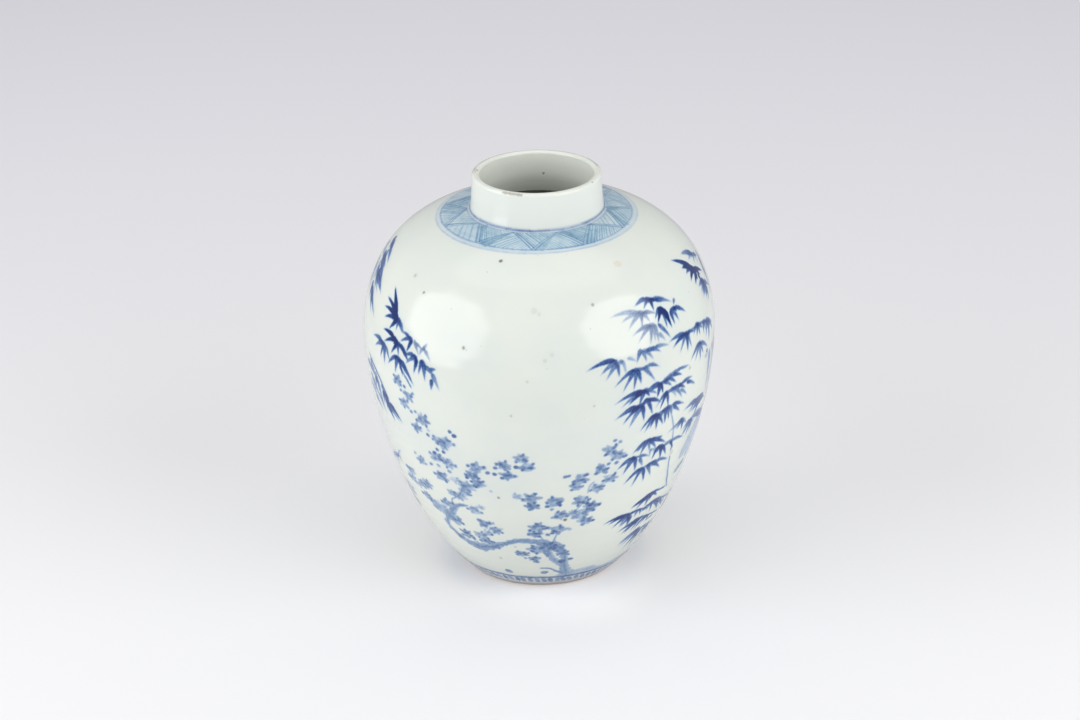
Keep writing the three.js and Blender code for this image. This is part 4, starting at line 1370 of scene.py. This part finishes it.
@dataclass
class Jar:
    """The six formed sections of the jar, and what is painted and marked on them. Sizes in millimetres."""

    wall: Wall
    finishes: Finishes
    floor_thickness: float = 8.0
    foot_ring_width: float = 7.5
    foot_edge_round: float = 1.0
    base_corner: float = 22.0
    belly_ridge: float = 1.2
    mouth_chamfer: float = 2.0

    def build_sections(self) -> None:
        """Turns each section from its own outline. Butt faces are flat, as the potter pared them."""
        wall, glaze, edge, (low, high) = self.wall, self.finishes.glaze, self.foot_edge_round, self.wall.seam
        floor, inner_foot = wall.foot_height + self.floor_thickness, wall.foot_radius - self.foot_ring_width
        quarter = np.radians(np.linspace(180, 270, 7))
        inner_edge = np.stack([inner_foot + edge + edge * np.cos(quarter),
                               edge + edge * np.sin(quarter)], axis=-1)
        outer_edge = np.array([(wall.foot_radius - edge, 0.0), (wall.foot_radius - 0.2, 0.3)])
        TurnedPiece(wall, "foot_ring_biscuit", "foot_ring", self.finishes.biscuit, "biscuit").build(
            (inner_edge, 0), (outer_edge, 0), (wall.stretch(edge, wall.foot_height, spacing=0.8), 0),
            (np.array([(inner_foot, wall.foot_height)]), 0))
        inside = wall.stretch(floor + self.base_corner, low, wall.body_wall)[::-1]
        slope = inside[-1] - inside[-3]
        corner_radius = inside[-1, 0] + slope[0] / slope[1] * -self.base_corner
        t = np.linspace(0, 1, 16)[1:, None]
        corner = ((1 - t) ** 2 * inside[-1] + 2 * t * (1 - t) * np.array([corner_radius, floor])
                  + t**2 * np.array([corner_radius - self.base_corner, floor]))
        foot = wall.foot_height
        base = np.stack([np.linspace(0, wall.radius_at(wall.rise_at(foot)), 24), np.full(24, foot)], axis=-1)
        bottom = np.stack([np.linspace(corner[-1, 0], 0, 20), np.full(20, floor)], axis=-1)
        TurnedPiece(wall, "lower_body_glazed", "lower_body", glaze).build(
            (base[:-1], 0), (wall.stretch(foot, low), 0), (inside, 1), (corner, 1), (bottom[1:], 1))
        ridge = np.array([(wall.belly_radius - wall.body_wall - self.belly_ridge, wall.belly_height)])
        TurnedPiece(wall, "belly_seam_glazed", "belly_slip_seam", glaze).build(
            (wall.stretch(low, high, spacing=0.75), 0),
            (wall.stretch(high - 0.01, high, wall.body_wall)[-1:], 1),
            (ridge, 1), (wall.stretch(low, low + 0.01, wall.body_wall)[:1], 1))
        top, neck_bottom, bore = wall.shoulder_height, wall.neck_bottom, wall.mouth_radius
        under = top - wall.body_wall * wall.upward[np.searchsorted(wall.rises, wall.rise_at(top)) - 1]
        cut = self.mouth_chamfer
        mouth = np.array([(bore, top), (bore, under + cut), (bore + cut, under)])
        TurnedPiece(wall, "upper_body_glazed", "upper_body", glaze).build(
            (wall.stretch(high, top, spacing=1.2), 0), (mouth, 1),
            (wall.stretch(high, under, wall.body_wall)[::-1], 1))
        TurnedPiece(wall, "neck_seam_glazed", "neck_slip_seam", glaze).build(
            (wall.outline(top, neck_bottom, 14), 0), (np.array([(bore, neck_bottom), (bore, top)]), 1))
        neck = wall.outline(neck_bottom, wall.lip_bottom, 30)
        inner = neck[::-1] - np.array([wall.neck_wall, 0])
        TurnedPiece(wall, "neck_collar_glazed", "neck_collar", self.finishes.lip).build(
            (neck, 0), (wall.lip(0, 90)[1:], 0), (wall.lip(90, 180), 0.3), (inner[1:], 1))

    def build_painting(self) -> None:
        """Paints the jar on both sides, lets the colour settle and peels off each painted piece."""
        film = InkFilm(self.wall)
        ground = Brush(film, "painted_ground", 47)
        for depth, *numbers in GROUND_WASHES:
            for side in Side:
                ground.path(side.spots(numbers, 3), depth, 0.3, 50, 0.12)
        Collar(film).paint()
        FootBand(film).paint()
        for side in Side:
            Plum(film, side).paint()
        Bamboo(film).paint()
        film.settle()
        for piece in film.pieces:
            film.peel(piece, self.finishes.cobalt, (2, 3) if piece == "painted_collar" else (2, 2))

    def build_marks(self) -> None:
        """Adds the specks and stains that came out of the kiln."""
        film = InkFilm(self.wall, soft_passes=2, bleed=0.0, lift=0.1)
        brush = Brush(film, "iron_specks", 3)
        t = np.linspace(-1, 1, 9)
        round_off = np.sqrt(np.maximum(1 - t**2, 0.0))
        for angle, rise, size, strength, rust in KILN_MARKS:
            radius = float(self.wall.radius_at(rise))
            line = np.stack([angle + np.degrees(t * size / 2 / radius), rise + 0.15 * size * t], axis=-1)
            brush.lay(line, 0.85 * size * round_off + 0.1, strength * (0.4 + 0.6 * round_off), rust, 0.1)
        film.settle()
        film.peel("iron_specks", self.finishes.iron)


@dataclass
class Studio:
    """A pale floor, two soft lamps, one overhead, and the camera. Sizes in metres.

    Each lamp has an azimuth in degrees, 0 at the camera's side and growing to the right, an elevation, how
    far off it stands, its width and depth, and its power in watts.
    """

    lamps: tuple = (
        ("lamp_left", -65, 17, 1.4, (1.7, 1.7), 22),
        ("lamp_right", 56, 19, 1.4, (1.55, 1.55), 19),
        ("lamp_over", 180, 84, 1.3, (2.2, 1.3), 7),
    )
    camera_elevation: float = 24.65
    camera_distance: float = 2.4
    camera_roll: float = 1.02
    lens: float = 116.5
    shift_up: float = 0.00565
    target_height: float = 0.1425
    lamp_aim: float = 0.18
    lamp_core: float = 0.36
    floor_radius: float = 9.0
    table: tuple = ((-0.5, -0.31), (0.5, 2.5))
    table_drop: float = 0.0001
    middle: tuple = (0.0, -0.3, 0.0)
    # Painted light on the floor, seen by the camera only: a glow that grows with distance, and two pools that
    # lighten the jar's shadow near its foot
    painted_floor_glow: tuple = (0.02, 0.24)
    pools: tuple = (((0.012, -0.05), 0.08, 0.2), ((0.02, 0.1), 0.32, 0.08))

    def build(self) -> None:
        """Sets up the whole studio."""
        self.build_floor()
        for lamp in self.lamps:
            self.add_lamp(*lamp)
        self.set_world()
        self.set_camera()
        bpy.context.scene.view_settings.view_transform = "Standard"

    def hang(self, name: str, data: bpy.types.ID, height: float, away: Vector, distance: float,
             turn: Matrix) -> Thing:
        """Puts a lamp or the camera on a line from a height on the jar's axis, turned by a matrix."""
        thing = bpy.data.objects.new(name, data)
        place = Vector((0, 0, height)) + away * distance
        thing.matrix_world = Matrix.Translation(place) @ turn.to_4x4()
        bpy.context.scene.collection.objects.link(thing)
        return thing

    def set_camera(self) -> None:
        """Aims the camera at the jar's middle from the front, a little rolled."""
        data = bpy.data.cameras.new("camera")
        data.sensor_width = 36.0
        data.lens = self.lens
        data.shift_y = self.shift_up
        elevation = math.radians(self.camera_elevation)
        back = Vector((0, -math.cos(elevation), math.sin(elevation)))
        rolled = Matrix.Rotation(-math.radians(self.camera_roll), 3, "Z")
        turn = (-back).to_track_quat("-Z", "Y").to_matrix() @ rolled
        camera = self.hang("camera", data, self.target_height, back, self.camera_distance, turn)
        bpy.context.scene.camera = camera

    def add_lamp(self, name: str, azimuth: float, elevation: float, distance: float, size: tuple,
                 power: float) -> None:
        """Hangs an eight-sided lamp with soft edges in a direction from the jar, facing it."""
        data = bpy.data.lights.new(name, "AREA")
        data.shape = "RECTANGLE"
        data.size, data.size_y = size
        data.energy = power
        data.use_nodes = True
        shader = Shader(data.node_tree)
        place = shader.split(shader.node("NewGeometry").outputs["Parametric"])
        across, up = (shader.math("ABSOLUTE", shader.math("SUBTRACT", place[k], 0.5)) for k in (0, 1))
        corner = shader.times(shader.math("ADD", across, up), math.sqrt(0.5))
        outward = shader.math("MAXIMUM", shader.math("MAXIMUM", across, up), corner)
        glow = shader.node("Emission", {"Strength": shader.ramp(outward, 0.5, self.lamp_core)})
        shader.node("OutputLight", {0: glow.outputs[0]})
        turned, raised = math.radians(azimuth), math.radians(elevation)
        away = Vector((math.sin(turned) * math.cos(raised), -math.cos(turned) * math.cos(raised),
                       math.sin(raised)))
        lamp = self.hang(name, data, self.lamp_aim, away, distance, away.to_track_quat("Z", "Y").to_matrix())
        lamp.visible_camera = False

    def set_world(self) -> None:
        """Fills the room with a soft neutral light."""
        world = bpy.data.worlds.new("room")
        world.use_nodes = True
        shader = Shader(world.node_tree)
        room = shader.node("Background", {"Color": srgb(216, 216, 217), "Strength": 0.70})
        shader.node("OutputWorld", {0: room.outputs[0]})
        bpy.context.scene.world = world

    def build_floor(self) -> None:
        """Lays the table that the jar mirrors, and the floor beyond it, both in one pale paper. Its colour
        darkens away from the front as painted shade, and it glows for camera rays as painted light.
        """
        material, shader, place = new_material("studio_paper")
        offset = shader.away(place, self.middle)
        # Painted shade: the paper's colour darkens with distance from a spot in front of the jar
        colour = shader.mix(shader.ramp(offset, 0.1, 1.9), srgb(236, 236, 238), srgb(205, 204, 211))
        surface = shader.node("BsdfPrincipled", {
            "Base Color": colour, "Roughness": 0.9, "Specular IOR Level": 0.2})
        # Painted light seen by the camera only: a glow that grows with distance, and pools that lighten the
        # jar's shadow
        near = [shader.ramp(shader.away(place, (*spot, 0.0)), reach, 0.0, 0.0, strength)
                for spot, reach, strength in self.pools]
        far = shader.math("ADD", shader.ramp(offset, 0.15, 1.6, *self.painted_floor_glow), shader.math("ADD", *near))
        painted_floor_light = shader.times(far, shader.node("LightPath").outputs["Is Camera Ray"])
        painted_light_tint = shader.mix(shader.ramp(offset, 0.3, 1.2), srgb(252, 250, 243), srgb(250, 249, 255))
        glow = shader.node("Emission", {"Color": painted_light_tint, "Strength": painted_floor_light})
        both = shader.node("AddShader", {0: surface.outputs[0], 1: glow.outputs[0]})
        shader.node("OutputMaterial", {0: both.outputs[0]})
        (left, front), (right, rear) = self.table
        table = [(x, y, -self.table_drop)
                 for x, y in ((left, front), (right, front), (right, rear), (left, rear))]
        angle = np.radians(np.arange(0, 360, 6))
        disc = self.floor_radius * np.stack([np.cos(angle), np.sin(angle), 0 * angle], axis=-1)
        disc[:, 2] = -2 * self.table_drop
        for name, points in (("floor", disc), ("table_paper", table)):
            mesh = bpy.data.meshes.new(name)
            mesh.from_pydata(points, [], [list(range(len(points)))])
            mesh.materials.append(material)
            thing = bpy.data.objects.new(name, mesh)
            thing.visible_glossy = name != "floor"
            bpy.context.scene.collection.objects.link(thing)


def main() -> None:
    logging.basicConfig(level=logging.INFO, format="%(name)s %(message)s")
    wall = Wall()
    jar = Jar(wall, Finishes())
    jar.build_sections()
    jar.build_painting()
    jar.build_marks()
    Studio().build()
    bpy.context.view_layer.update()


if __name__ == "__main__":
    main()
